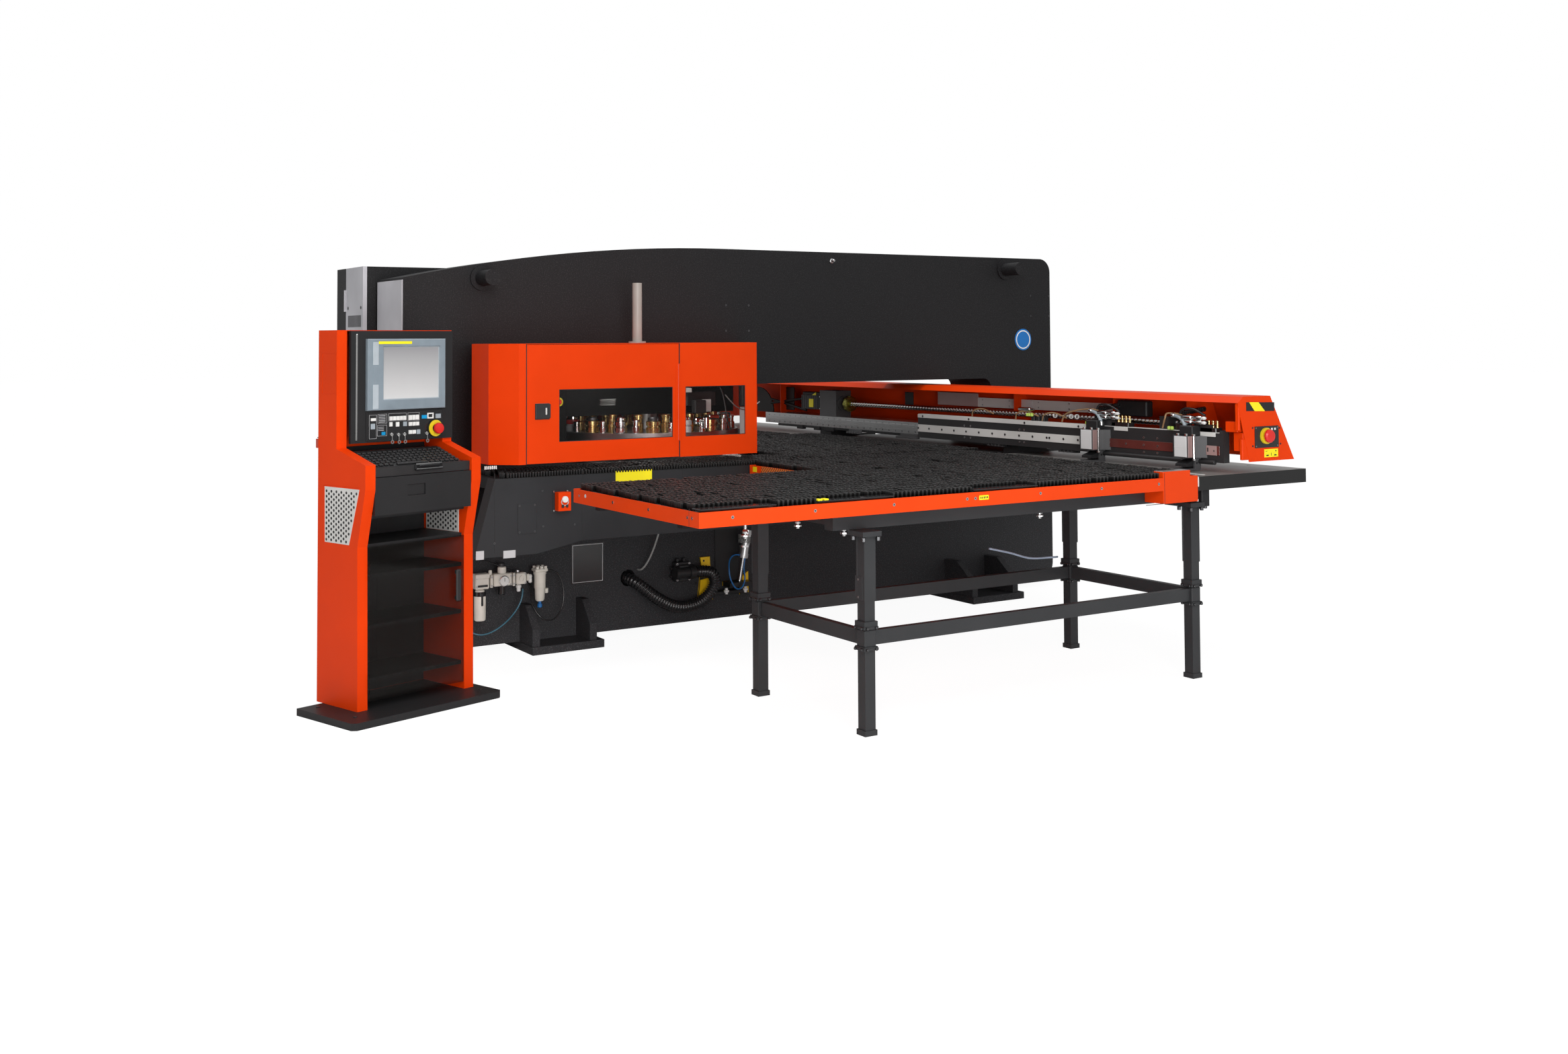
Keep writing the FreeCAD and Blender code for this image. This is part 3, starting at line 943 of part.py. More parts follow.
screw = Piece("ball_screw")
centre_on = (s.screw_y, s.screw_z)
coupling_from = s.screw_start - s.coupling_length
screw.pad("YZ", s.bearing_block_from + 5, coupling_from, Ring(*centre_on, s.screw_radius * 0.75))
screw.pad("YZ", coupling_from, s.screw_start, Ring(*centre_on, s.coupling_radius))
screw.pad("YZ", s.screw_start, end_bearing - s.fit_gap, Ring(*centre_on, s.screw_radius))
screw.pad("YZ", end_bearing - s.fit_gap, s.screw_end, Ring(*centre_on, s.screw_radius * 0.75))

# ---- sliding bar with two sheet clamps
bar_back = s.bar_low_face + s.bar_depth
bar_to = s.table_edge - s.bar_inset
clamp_near_x, clamp_far_x = s.table_edge - s.clamp_near_inset, s.table_edge - s.clamp_far_inset
carriage = Piece("x_carriage")
carriage.pad("YZ", s.bar_from, bar_to, rect(s.bar_low_face, bar_back, s.bar_bottom, s.bar_top))
carriage.pad("YZ", bar_to, bar_to + s.end_plate,
             rect(s.bar_low_face, bar_back, s.bar_bottom, s.bar_top + s.end_plate - s.jaw_thick))
truck_face = s.beam_low_face - s.fit_gap
for x in (s.guard_front, clamp_far_x - s.leg_width * 1.5):
    carriage.pad("YZ", x, x + s.truck_pad, rect(bar_back, truck_face, s.beam_bottom, s.beam_top))
    carriage.pocket("YZ", x, x + s.truck_pad,
                    rect(s.beam_low_face - s.guide_depth - s.fit_gap, truck_face, guide_low - s.fit_gap,
                         guide_high + s.fit_gap))
nut_x = bar_to - s.nut_inset
carriage.pad("YZ", nut_x, nut_x + s.nut_length,
             rect(bar_back, s.screw_y + s.screw_radius * 2, s.bar_top - s.nut_lap, s.screw_z + s.screw_radius * 2),
             Ring(*centre_on, s.screw_radius + s.run_gap))

clamp_low = s.table_top + 4
sheet_gap_low = clamp_low + s.jaw_thick
sheet_gap_high = sheet_gap_low + s.jaw_gap
clamp_front = s.bar_low_face - s.clamp_throat
cheek_from = s.bar_low_face - s.clamp_throat * 0.45
pivot_y, pivot_z = s.bar_low_face - s.clamp_throat * 0.3, sheet_gap_high + s.pivot_rise
half_clamp = s.clamp_width / 2
clamps = Piece("clamp_bodies")
for x in (clamp_near_x, clamp_far_x):
    clamps.pad("YZ", x - half_clamp, x + half_clamp, [
        (clamp_front, clamp_low), (s.bar_low_face, clamp_low), (s.bar_low_face, s.clamp_top),
        (clamp_front, s.clamp_top), (clamp_front, pivot_z + s.pivot_rise + s.jaw_gap), (s.bar_low_face - s.jaw_thick,
                                                                         pivot_z + s.pivot_rise + s.jaw_gap),
        (s.bar_low_face - s.jaw_thick, sheet_gap_low), (clamp_front, sheet_gap_low)])
    for lo in (x - half_clamp, x + half_clamp - s.cheek_thick):
        clamps.pad("YZ", lo, lo + s.cheek_thick, rect(cheek_from, s.bar_low_face - s.jaw_thick, sheet_gap_low,
                                                      pivot_z + s.pivot_rise + s.jaw_gap),
                   Ring(pivot_y, pivot_z, s.pivot_radius + s.run_gap))


    # the swept rib that ties the clamp to the bar on its high side
    clamps.pad("XY", pivot_z + s.pivot_rise + s.jaw_gap, s.clamp_top, [
        (x + half_clamp, cheek_from), (x + half_clamp + s.clamp_flare * 0.3, s.bar_low_face - s.clamp_flare * 0.6),
        (x + half_clamp + s.clamp_flare, s.bar_low_face), (x + half_clamp, s.bar_low_face)])


def clamp_jaw(label, x):
    jaw = Piece(label)
    inner = half_clamp - s.cheek_thick - s.fit_gap
    jaw.pad("YZ", x - inner, x + inner, [
        (clamp_front, sheet_gap_high), (pivot_y, sheet_gap_high), (s.bar_low_face - s.jaw_thick * 1.6, pivot_z),
        (pivot_y, pivot_z + s.pivot_rise), (clamp_front + s.jaw_thick, pivot_z), (clamp_front,
                                                                                sheet_gap_high + s.jaw_thick)])
    jaw.pad("YZ", x - half_clamp, x + half_clamp, Ring(pivot_y, pivot_z, s.pivot_radius))


clamp_jaw("clamp_jaw_near", clamp_near_x)
clamp_jaw("clamp_jaw_far", clamp_far_x)

valves = Piece("valve_bank")
valve_low, valve_high = s.bar_low_face + s.door_gap * 2, bar_back - s.door_gap * 2
for x in (clamp_far_x, clamp_near_x):
    valves.pad("YZ", x, x + s.valve_length, rect(valve_low, valve_high, s.bar_top, s.bar_top + s.valve_rise))
    valves.pad("YZ", x + s.valve_length * 0.4, x + s.valve_length * 0.6,
               rect(valve_low * 0.75 + valve_high * 0.25, valve_low * 0.25 + valve_high * 0.75,
                    s.bar_top + s.valve_rise, s.bar_top + s.valve_rise * 1.5))

# ---- operator console, in its own frame: X to its front, Y to its right side seen from the front
def stand_console(piece):
    piece.place(s.console_x, s.console_y, 0, s.console_turn)


column_left, column_right = s.side_left + s.column_width, s.side_right - s.column_width
plinth = Piece("console_base")
bevel = s.plinth_bevel
plinth.pad("XY", ground, s.plinth_height, [
    (s.plinth_back, s.plinth_left), (s.plinth_front - bevel, s.plinth_left), (s.plinth_front, s.plinth_left + bevel),
    (s.plinth_front, s.plinth_right - bevel), (s.plinth_front - bevel, s.plinth_right),
    (s.plinth_back, s.plinth_right)])
stand_console(plinth)

shell = Piece("console_body")
shell.pad("XZ", s.side_left, s.side_right, [
    (s.console_back, s.plinth_height), (s.waist_front + sheet_t * 2, s.plinth_height),
    (s.waist_front, s.waist_height), (s.arm_front, s.arm_bottom), (s.arm_front, s.arm_top),
    (s.head_front, s.head_bottom), (s.head_front, s.console_top), (s.console_back, s.console_top)])
shell.pocket("XZ", column_left, column_right,
             rect(s.console_back + s.console_sheet, s.arm_front * 2, s.plinth_height, s.head_bottom))
shell.pocket("XZ", column_left, column_right,
             rect(s.console_back + s.console_sheet, s.head_front, s.head_bottom, s.console_top - s.console_sheet))
stand_console(shell)

front = Piece("console_front")
face_v = s.head_front + s.bezel_thick
front.pad("YZ", s.head_front, face_v, rect(s.bezel_left, s.side_right - s.fascia_thick, s.head_bottom + bevel,
                                           s.console_top - s.console_sheet),
          Ring(s.console_stop_u, s.console_stop_z, s.stop_stem + s.run_gap))
front.pad("YZ", face_v, face_v + s.bezel_thick,
          rect(s.screen_left, s.screen_right, s.screen_bottom, s.screen_top),
          rect(s.screen_glass_left, s.screen_glass_right, s.screen_glass_bottom, s.screen_glass_top))
front.pad("YZ", face_v, face_v + s.console_sheet,
          rect(s.screen_left, s.screen_right, s.key_panel_bottom, s.screen_bottom - s.console_sheet * 2),
          Ring(s.console_stop_u, s.console_stop_z, s.stop_collar_radius))
front.pad("YZ", face_v, face_v + s.stop_stem, Ring(s.console_stop_u, s.console_stop_z, s.stop_collar_radius),
          Ring(s.console_stop_u, s.console_stop_z, s.stop_stem + s.run_gap))
stand_console(front)

glass = Piece("console_screen")
glass.pad("YZ", face_v, face_v + s.console_sheet,
          rect(s.screen_glass_left, s.screen_glass_right, s.screen_glass_bottom, s.screen_glass_top))
stand_console(glass)

console_stop = Piece("console_stop_button")
cap_v = face_v + s.stop_stem + s.button_travel + 1
console_stop.pad("YZ", s.head_front - s.stop_stem, cap_v, Ring(s.console_stop_u, s.console_stop_z, s.stop_stem))
console_stop.pad("YZ", cap_v, cap_v + s.stop_stem * 1.6, Ring(s.console_stop_u, s.console_stop_z, s.stop_cap_radius))
stand_console(console_stop)

slide_gap = s.door_gap / 2
keyboard = Piece("keyboard_drawer")
tray_bottom = s.arm_top - s.keyboard_thick - s.bezel_thick
tray_back = s.head_front - s.keyboard_thick
keyboard.pad("XY", tray_bottom, tray_bottom + s.keyboard_thick,
             rect(tray_back, s.arm_front - s.bezel_thick, column_left + slide_gap, column_right - slide_gap))
keyboard.pocket("XY", tray_bottom + s.bezel_thick, tray_bottom + s.keyboard_thick,
                rect(tray_back + s.bezel_thick, s.arm_front - s.bezel_thick * 2.5,
                     column_left + s.bezel_thick, column_right - s.bezel_thick))
keys_front, keys_floor = s.arm_front - s.bezel_thick * 3, tray_bottom + s.bezel_thick
keys_top = s.head_bottom - s.plinth_bevel
keyboard.pad("XZ", column_left + s.bezel_thick * 2, column_right - s.bezel_thick * 2, [
    (tray_back + s.bezel_thick, keys_floor), (keys_front, keys_floor), (keys_front, tray_bottom + s.keyboard_thick),
    (s.head_front, keys_top), (tray_back + s.bezel_thick, keys_top)])
stand_console(keyboard)

drawer = Piece("console_drawer")
drawer_wall = s.bezel_thick / 2
box_left, box_right = column_left + s.bezel_thick, column_right - s.bezel_thick
drawer.pad("YZ", s.drawer_front - s.bezel_thick, s.drawer_front,
           rect(column_left + slide_gap, column_right - slide_gap, s.drawer_bottom, s.drawer_top - s.bezel_thick))
drawer.pad("XY", s.drawer_bottom + drawer_wall, s.drawer_top - s.keyboard_thick,
           rect(s.drawer_front - s.drawer_depth, s.drawer_front - s.bezel_thick, box_left, box_right))
drawer.pocket("XY", s.drawer_bottom + drawer_wall * 2, s.drawer_top - s.keyboard_thick,
              rect(s.drawer_front - s.drawer_depth + drawer_wall, s.drawer_front - s.bezel_thick,
                   box_left + drawer_wall, box_right - drawer_wall))
drawer.pocket("YZ", s.drawer_front - drawer_wall, s.drawer_front,
              rect(s.pull_left, s.pull_right, s.drawer_top - s.keyboard_thick * 2.5, s.drawer_top - s.keyboard_thick * 1.3))
stand_console(drawer)

shelves = Piece("console_shelves")
for top in (s.shelf_top, s.shelf_upper, s.shelf_middle, s.shelf_lower):
    shelves.pad("XY", top - s.shelf_thick, top,
                rect(s.console_back + s.console_sheet, s.waist_front - s.shelf_thick, column_left, column_right))
rail_z = s.drawer_bottom - s.shelf_thick
shelves.pad("XY", rail_z - s.fit_gap, s.drawer_bottom - s.fit_gap,
            rect(s.console_back + s.console_sheet, s.waist_front, column_left, column_right))
shelves.pad("XY", tray_bottom - s.bezel_thick / 2 - s.fit_gap, tray_bottom - s.fit_gap,
            rect(s.console_back + s.console_sheet, s.waist_front, column_left, column_left + s.fascia_thick),
            rect(s.console_back + s.console_sheet, s.waist_front, column_right - s.fascia_thick, column_right))
stand_console(shelves)

glass_door = Piece("console_door")
door_v = s.waist_front + sheet_t
glass_door.pad("YZ", door_v - s.glass_door_thick, door_v,
               rect(column_left + slide_gap, column_right - slide_gap, s.glass_door_bottom,
                    s.shelf_top - s.shelf_thick / 2))
pin_v, pin_u = door_v + s.barrel_radius * 2, column_left + slide_gap
for low in (s.glass_door_bottom + s.waist_front, s.shelf_top - s.barrel_over - s.waist_front):
    glass_door.pad("XY", low, low + s.barrel_over * 0.7, Ring(pin_v, pin_u, s.barrel_radius))
    glass_door.pad("XY", low, low + s.barrel_over * 0.7, rect(door_v, pin_v, pin_u, pin_u + s.barrel_radius * 2))
handle_u = column_right - s.leg_width
glass_door.pad("YZ", door_v, door_v + s.bezel_thick,
               rect(handle_u, handle_u + s.bezel_thick, s.handle_bottom, s.handle_bottom + s.bezel_thick),
               rect(handle_u, handle_u + s.bezel_thick, s.handle_bottom + s.handle_length - s.bezel_thick,
                    s.handle_bottom + s.handle_length))
glass_door.pad("YZ", door_v + s.bezel_thick, door_v + s.bezel_thick * 1.8,
               rect(handle_u - sheet_t, handle_u + s.bezel_thick + sheet_t, s.handle_bottom,
                    s.handle_bottom + s.handle_length))
stand_console(glass_door)

# ---- check and write every piece
doc.recompute()
os.makedirs("parts", exist_ok=True)
faulty = [item.Label for item in doc.Objects if "Invalid" in item.State or "Error" in item.State]
if faulty:
    raise ValueError("features with errors: " + ", ".join(faulty))
for piece in pieces:
    shape = piece.Shape
    if shape.isNull() or not shape.isValid() or shape.Volume <= 0:
        raise ValueError(piece.Label + " has no valid solid")
    shape.exportStep("parts/%s.step" % piece.Label)
print("%d pieces written" % len(pieces))
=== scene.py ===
import math

import bpy
import numpy as np
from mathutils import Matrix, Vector


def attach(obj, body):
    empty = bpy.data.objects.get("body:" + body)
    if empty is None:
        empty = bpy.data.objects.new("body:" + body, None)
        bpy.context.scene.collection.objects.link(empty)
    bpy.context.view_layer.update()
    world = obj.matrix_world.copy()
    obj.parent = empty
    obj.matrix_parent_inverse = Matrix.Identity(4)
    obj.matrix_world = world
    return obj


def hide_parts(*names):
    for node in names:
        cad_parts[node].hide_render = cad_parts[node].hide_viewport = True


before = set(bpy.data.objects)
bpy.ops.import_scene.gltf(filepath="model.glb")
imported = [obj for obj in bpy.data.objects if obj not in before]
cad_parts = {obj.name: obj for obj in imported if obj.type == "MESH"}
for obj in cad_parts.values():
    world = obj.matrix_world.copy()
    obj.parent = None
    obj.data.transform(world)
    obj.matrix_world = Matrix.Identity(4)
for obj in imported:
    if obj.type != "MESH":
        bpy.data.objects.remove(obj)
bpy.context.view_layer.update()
print("stage: frame loaded, %d nodes" % len(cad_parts))

# a shape is (points, faces): points in millimetres, faces as lists of point numbers


def block(low, high, bevel=1.5):
    # a box whose twelve edges are cut flat: each corner is three points, each inset along two axes
    low, high = np.minimum(low, high).astype(float), np.maximum(low, high).astype(float)
    inset = np.minimum(bevel, (high - low) * 0.45)
    points = []
    for sx in (0, 1):
        for sy in (0, 1):
            for sz in (0, 1):
                side = np.array([sx, sy, sz])
                corner = np.where(side, high, low)
                inward = np.where(side, -inset, inset)
                for kept in range(3):
                    step = inward.copy()
                    step[kept] = 0
                    points.append(corner + step)

    def at(sx, sy, sz, kept):
        return (sx * 4 + sy * 2 + sz) * 3 + kept
    faces = []
    for axis in range(3):
        a, b = (axis + 1) % 3, (axis + 2) % 3
        for side in (0, 1):
            loop = []
            for sa, sb in ((0, 0), (1, 0), (1, 1), (0, 1)):
                bits = [0, 0, 0]
                bits[axis], bits[a], bits[b] = side, sa, sb
                loop.append(at(*bits, axis))
            faces.append(loop if side else loop[::-1])
        for sa in (0, 1):
            for sb in (0, 1):
                ends = []
                for s in (0, 1):
                    bits = [0, 0, 0]
                    bits[axis], bits[a], bits[b] = s, sa, sb
                    ends.append(bits)
                loop = [at(*ends[0], a), at(*ends[1], a), at(*ends[1], b), at(*ends[0], b)]
                faces.append(loop if sa == sb else loop[::-1])
    for sx in (0, 1):
        for sy in (0, 1):
            for sz in (0, 1):
                loop = [at(sx, sy, sz, 0), at(sx, sy, sz, 1), at(sx, sy, sz, 2)]
                faces.append(loop if (sx + sy + sz) % 2 else loop[::-1])
    return np.array(points), faces


def skin(rows, segments, closed=False):
    # four-sided faces between neighbouring rings of points, and flat ends unless the rows of rings close
    # too
    k, j = np.meshgrid(np.arange(rows if closed else rows - 1), np.arange(segments), indexing="ij")
    m, n = (k + 1) % rows, (j + 1) % segments
    corners = [k * segments + j, k * segments + n, m * segments + n, m * segments + j]
    faces = np.stack(corners, -1).reshape(-1, 4).tolist()
    if closed:
        return faces
    return faces + [list(range(segments))[::-1], list(range((rows - 1) * segments, rows * segments))]


def around(segments):
    # even angles round a circle
    return np.linspace(0, 2 * np.pi, segments, endpoint=False)


def turned(profile, segments=20):
    # a surface of revolution about Z: point (k, j) is (r_k cos t_j, r_k sin t_j, z_k), closed by flat ends
    profile, t = np.array(profile, float), around(segments)
    ring = np.stack([np.cos(t), np.sin(t)], 1)
    points = np.concatenate(
        [profile[:, None, :1] * ring[None], np.repeat(profile[:, None, 1:], segments, 1)], 2)
    return points.reshape(-1, 3), skin(len(profile), segments)


def rod(radius, length, bevel=1.0, segments=20):
    # a round bar along +Z from 0 with its rims cut at 45 degrees
    cut = min(bevel, radius * 0.4, length * 0.4)
    profile = [(radius - cut, 0), (radius, cut), (radius, length - cut), (radius - cut, length)]
    return turned(profile, segments)


def washer(inner, outer, length, segments=28):
    # a ring: the closed profile inner-outer-outer-inner turned about Z
    edges = np.array([(inner, 0), (outer, 0), (outer, length), (inner, length)], float)
    wide, t = edges[:, None, 0], around(segments)
    points = np.stack([wide * np.cos(t), wide * np.sin(t), np.repeat(edges[:, 1:], segments, 1)], 2)
    return points.reshape(-1, 3), skin(4, segments, True)


def prism(outline, low, high, axis="z"):
    # a flat outline carried from low to high along one axis; outline pairs are the other two axes in x, y,
    # z order
    flat = np.array(outline, float)
    area = np.sum(flat[:, 0] * np.roll(flat[:, 1], -1) - np.roll(flat[:, 0], -1) * flat[:, 1])
    if (area < 0) != (axis == "y"):
        flat = flat[::-1]
    where, count = "xyz".index(axis), len(flat)
    points = np.zeros((2 * count, 3))
    points[:, [i for i in range(3) if i != where]] = np.vstack([flat, flat])
    points[:count, where], points[count:, where] = low, high
    return points, skin(2, count)


def pipe(path, radius, segments=10):
    # a round bar along a path: at each point a ring in the plane square to the path
    path = np.array(path, float)
    step = np.gradient(path, axis=0)
    step /= np.linalg.norm(step, axis=1)[:, None]
    guide = np.array([0, 0, 1.0]) if abs(step[0, 2]) < 0.9 else np.array([1.0, 0, 0])
    side = np.cross(step, guide)
    side /= np.linalg.norm(side, axis=1)[:, None]
    across, t = np.cross(step, side)[:, None], around(segments)[None, :, None]
    points = path[:, None] + radius * (np.cos(t) * side[:, None] - np.sin(t) * across)
    return points.reshape(-1, 3), skin(len(path), segments)


def moved(shape, x=0, y=0, z=0):
    # each point plus (x, y, z)
    return shape[0] + np.array([x, y, z], float), shape[1]


def aimed(shape, axis, *place):
    # turns a shape that is made along +Z so that it points along another axis, and moves it
    x, y, z = shape[0].T
    ways = {"x": (z, x, y), "-x": (-z, -x, y), "y": (y, z, x), "-y": (x, -z, y), "z": (x, y, z),
        "-z": (x, -y, -z)}
    return moved((np.stack(ways[axis], 1), shape[1]), *place)


def boxes(*rows):
    # blocks from rows of the two corners' coordinates and the bevel
    return [block(row[:3], row[3:6], row[6]) for row in rows]


def leaned(shape, axis, degrees):
    # turns a shape about one axis through the origin
    a = math.radians(degrees)
    c, s = math.cos(a), math.sin(a)
    i, j = {"x": (1, 2), "y": (2, 0), "z": (0, 1)}[axis]
    points, first, second = shape[0].copy(), shape[0][:, i], shape[0][:, j]
    points[:, i], points[:, j] = c * first - s * second, s * first + c * second
    return points, shape[1]


def joined(*shapes):
    # several shapes as one: each one's point numbers go up by the count of points before it
    points, faces, count = [], [], 0
    for shapePoints, shapeFaces in shapes:
        points.append(shapePoints)
        faces += [[i + count for i in face] for face in shapeFaces]
        count += len(shapePoints)
    return np.vstack(points), faces


def repeated(shape, places):
    # one copy of the shape at each place, as one array sum
    places = np.array(places, float).reshape(-1, 3)
    points = (places[:, None] + shape[0][None]).reshape(-1, 3)
    size = len(shape[0])
    return points, [[i + n * size for i in face] for n in range(len(places)) for face in shape[1]]


sharpest = 38  # degrees between two faces, past which a smooth surface keeps its edge


def build(name, body, *parts, smooth=False, replaces=()):
    # one object from groups of a finish's name and its shapes, riding on a body
    shapes = [joined(*group[1:]) for group in parts]
    points, faces = joined(*shapes)
    mesh = bpy.data.meshes.new(name)
    mesh.from_pydata((points / 1000.0).tolist(), [], faces)
    index = np.repeat(np.arange(len(parts)), [len(shape[1]) for shape in shapes])
    for group in parts:
        mesh.materials.append(finishes[group[0]])
    mesh.polygons.foreach_set("material_index", index.astype(np.int32))
    mesh.polygons.foreach_set("use_smooth", np.full(len(faces), smooth))
    if smooth:
        mesh.set_sharp_from_angle(angle=math.radians(sharpest))
    mesh.update()
    item = bpy.data.objects.new(name, mesh)
    bpy.context.scene.collection.objects.link(item)
    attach(item, body)
    if replaces:
        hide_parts(*replaces)
    return item


class Wire:
    # a node's output with arithmetic: each operator adds one Math node
    def __init__(self, finish, socket):
        self.finish, self.socket = finish, socket

    def calc(self, operation, *others):
        return self.finish.add("ShaderNodeMath", {"operation": operation}, [self] + list(others))

    def __add__(self, other):
        return self.calc("ADD", other)

    def __sub__(self, other):
        return self.calc("SUBTRACT", other)

    def __rsub__(self, other):
        return (self * -1.0) + other

    def __mul__(self, other):
        return self.calc("MULTIPLY", other)

    def __truediv__(self, other):
        return self.calc("DIVIDE", other)

    def __gt__(self, other):
        return self.calc("GREATER_THAN", other)

    def __lt__(self, other):
        return self.calc("LESS_THAN", other)

    __radd__ = __add__
    __rmul__ = __mul__


class Finish:
    # a material with one Principled shader
    def __init__(self, name, specular=None):
        self.material = bpy.data.materials.new(name)
        self.material.use_nodes = True
        self.tree = self.material.node_tree
        self.shader = self.tree.nodes["Principled BSDF"]
        self.place = self.add("ShaderNodeTexCoord", {}, [], "Object")
        if specular is not None:
            self.set(Specular_IOR_Level=specular)

    def link(self, socket, value):
        if isinstance(value, Wire):
            self.tree.links.new(value.socket, socket)
        elif hasattr(socket.default_value,
            "__len__") and len(socket.default_value) == 4 and len(value) == 3:
            socket.default_value = (*value, 1.0)
        else:
            socket.default_value = value

    def add(self, kind, settings, inputs, output=0):
        # settings come first, then the inputs by number or by name
        node = self.tree.nodes.new(kind)
        for key, value in settings.items():
            if key == "stops":
                ramp = node.color_ramp.elements
                while len(ramp) < len(value):
                    ramp.new(0.5)
                for element, (spot, colour) in zip(ramp, value):
                    element.position, element.color = spot, (*colour, 1.0)
            else:
                setattr(node, key, value)
        pairs = inputs.items() if isinstance(inputs, dict) else enumerate(inputs)
        for key, value in pairs:
            self.link(node.inputs[key], value)
        return Wire(self, node.outputs[output])

    def set(self, **values):
        for key, value in values.items():
            self.link(self.shader.inputs[key.replace("_", " ")], value)
        return self

    def noise(self, scale, detail=3.0, rough=0.55, place=None):
        return self.add("ShaderNodeTexNoise", {},
            {"Vector": place or self.place, "Scale": scale, "Detail": detail, "Roughness": rough})

    def axis(self, which):
        return self.add("ShaderNodeSeparateXYZ", {}, [self.place], "XYZ".index(which))

    def stretched(self, x, y, z):
        return self.add("ShaderNodeVectorMath", {"operation": "MULTIPLY"}, [self.place, (x, y, z)])

    def blend(self, mask, first, second):
        return self.add("ShaderNodeMix", {"data_type": "RGBA"}, {0: mask, 6: first, 7: second}, 2)

    def ramp(self, wire, *stops):
        return self.add("ShaderNodeValToRGB", {"stops": stops}, [wire])

    def bump(self, height, strength, depth):
        normal = self.add("ShaderNodeBump", {}, {"Strength": strength, "Distance": depth, "Height": height},
            "Normal")
        return self.set(Normal=normal)


def paint(name, colour, rough=0.42, grain=700.0, relief=0.12, depth=0.0006, drift=0.12, specular=0.4):
    # sprayed paint: a fine orange-peel bump, slow colour drift and uneven gloss
    finish = Finish(name, specular)
    slow, fine = finish.noise(2.2), finish.noise(grain, 2.0)
    dark = tuple(c * (1 - drift) for c in colour)
    light = tuple(min(1.0, c * (1 + drift)) for c in colour)
    finish.set(Base_Color=finish.ramp(slow, (0.35, dark), (0.65, light)), Roughness=rough - 0.06 +
        slow * 0.12)
    finish.shader.inputs["Coat Roughness"].default_value = 0.12
    return finish.bump(fine, relief, depth).material


def wrinkled(name, dark, bright, scale):
    # wrinkle paint: noise lifts small grains whose tops, where it is over a half, are greyer; painted
    # light:
    # three times lighter at the floor than from one metre up, for the light thrown up onto the low parts
    finish = Finish(name, 0.18)
    grains, slow = finish.noise(scale, 3.0, 0.7), finish.noise(1.6)
    tops = ((grains - 0.52) * 6.0).calc("MAXIMUM", 0.0).calc("MINIMUM", 1.0) * (0.5 + slow * 0.6)
    low = (1.0 - finish.axis("Z")).calc("MAXIMUM", 0.0).calc("MINIMUM", 1.0)
    # painted light: the grains' colours tripled towards the floor
    lit = finish.blend(tops, tuple(c * 3 for c in dark), tuple(c * 3 for c in bright))
    finish.set(Base_Color=finish.blend(low, finish.blend(tops, dark, bright), lit), Roughness=0.5 +
        slow * 0.08)
    return finish.bump(grains, 0.55, 0.0022).material


def metal(name, colour, rough=0.3, streak=(20, 20, 600), relief=0.08, spread=0.25):
    # machined metal: noise stretched along the cut gives streaks in colour, gloss and relief
    finish = Finish(name)
    lines = finish.noise(1.0, 4.0, 0.6, finish.stretched(*streak))
    cloud = finish.noise(6.0)
    dark = tuple(c * (1 - spread) for c in colour)
    finish.set(Base_Color=finish.ramp(lines * 0.6 + cloud * 0.4, (0.3, dark), (0.7, colour)), Metallic=1.0,
        Roughness=rough - 0.08 + lines * 0.16)
    return finish.bump(lines, relief, 0.0003).material


def moulded(name, colour, rough=0.45, grain=1500.0, relief=0.08, specular=0.45):
    # moulded plastic or rubber: a fine grain and a faint shade change
    finish = Finish(name, specular)
    grainNoise, cloud = finish.noise(grain, 1.0), finish.noise(9.0)
    dark = tuple(c * 0.82 for c in colour)
    finish.set(Base_Color=finish.ramp(cloud, (0.3, dark), (0.7, colour)), Roughness=rough - 0.05 +
        cloud * 0.1)
    return finish.bump(grainNoise, relief, 0.0002).material


def hazard(name, dark, bright, pitch):
    # diagonal bars: the sum of two coordinates, folded at the pitch, is over or under a half
    finish = Finish(name)
    bars = ((finish.axis("X") + finish.axis("Z")) / pitch).calc("FRACT") > 0.5
    finish.set(Base_Color=finish.blend(bars, bright, dark), Roughness=0.4 + finish.noise(40.0) * 0.1)
    return finish.material


def pane(name, colour, alpha, rough=0.03):
    # clear sheet: mostly let through, with a little uneven gloss
    finish = Finish(name, 0.25)
    smear = finish.noise(14.0)
    finish.set(Base_Color=colour, Alpha=alpha + smear * 0.04, Roughness=rough + smear * 0.05)
    return finish.material


def bristles(name, root, tip, low, high):
    # nylon bristles: black at the root and greyer towards the tip, by height, with a faint cloud; the black
    # roots are painted shade between the tufts, the grey tips a painted sheen
    finish = Finish(name, 0.35)
    rise = ((finish.axis("Z") - low) / (high - low)).calc("MAXIMUM", 0.0).calc("POWER", 3.0)
    shade = rise * (0.75 + finish.noise(3.0) * 0.5)
    finish.set(Base_Color=finish.blend(shade, root, tip), Roughness=0.38 + finish.noise(60.0) * 0.1)
    return finish.material


def split(name, which, limit, before, after):
    # one colour up to a coordinate along an axis, another past it; on the cylinder brackets the near-black
    # past x = 0.2085 is painted shade over their yellow
    finish = Finish(name)
    finish.set(Base_Color=finish.blend(finish.axis(which) > limit, before, after), Roughness=0.3 +
        finish.noise(20.0) * 0.1)
    return finish.bump(finish.noise(700.0, 2.0), 0.06, 0.0003).material


def glowing(name, low, high, bottom, top, glow):
    # a lit screen: grey from one shade at the bottom to another at the top, by height, with a little light
    # of its own
    finish = Finish(name)
    rise = (finish.axis("Z") - bottom) / (top - bottom) + finish.noise(3.0) * 0.1
    shade = finish.blend(rise.calc("MINIMUM", 1.0).calc("MAXIMUM", 0.0), low, high)
    finish.set(Base_Color=shade, Emission_Color=shade, Roughness=0.3 + finish.noise(30.0) * 0.05)
    return finish.set(Emission_Strength=glow).material


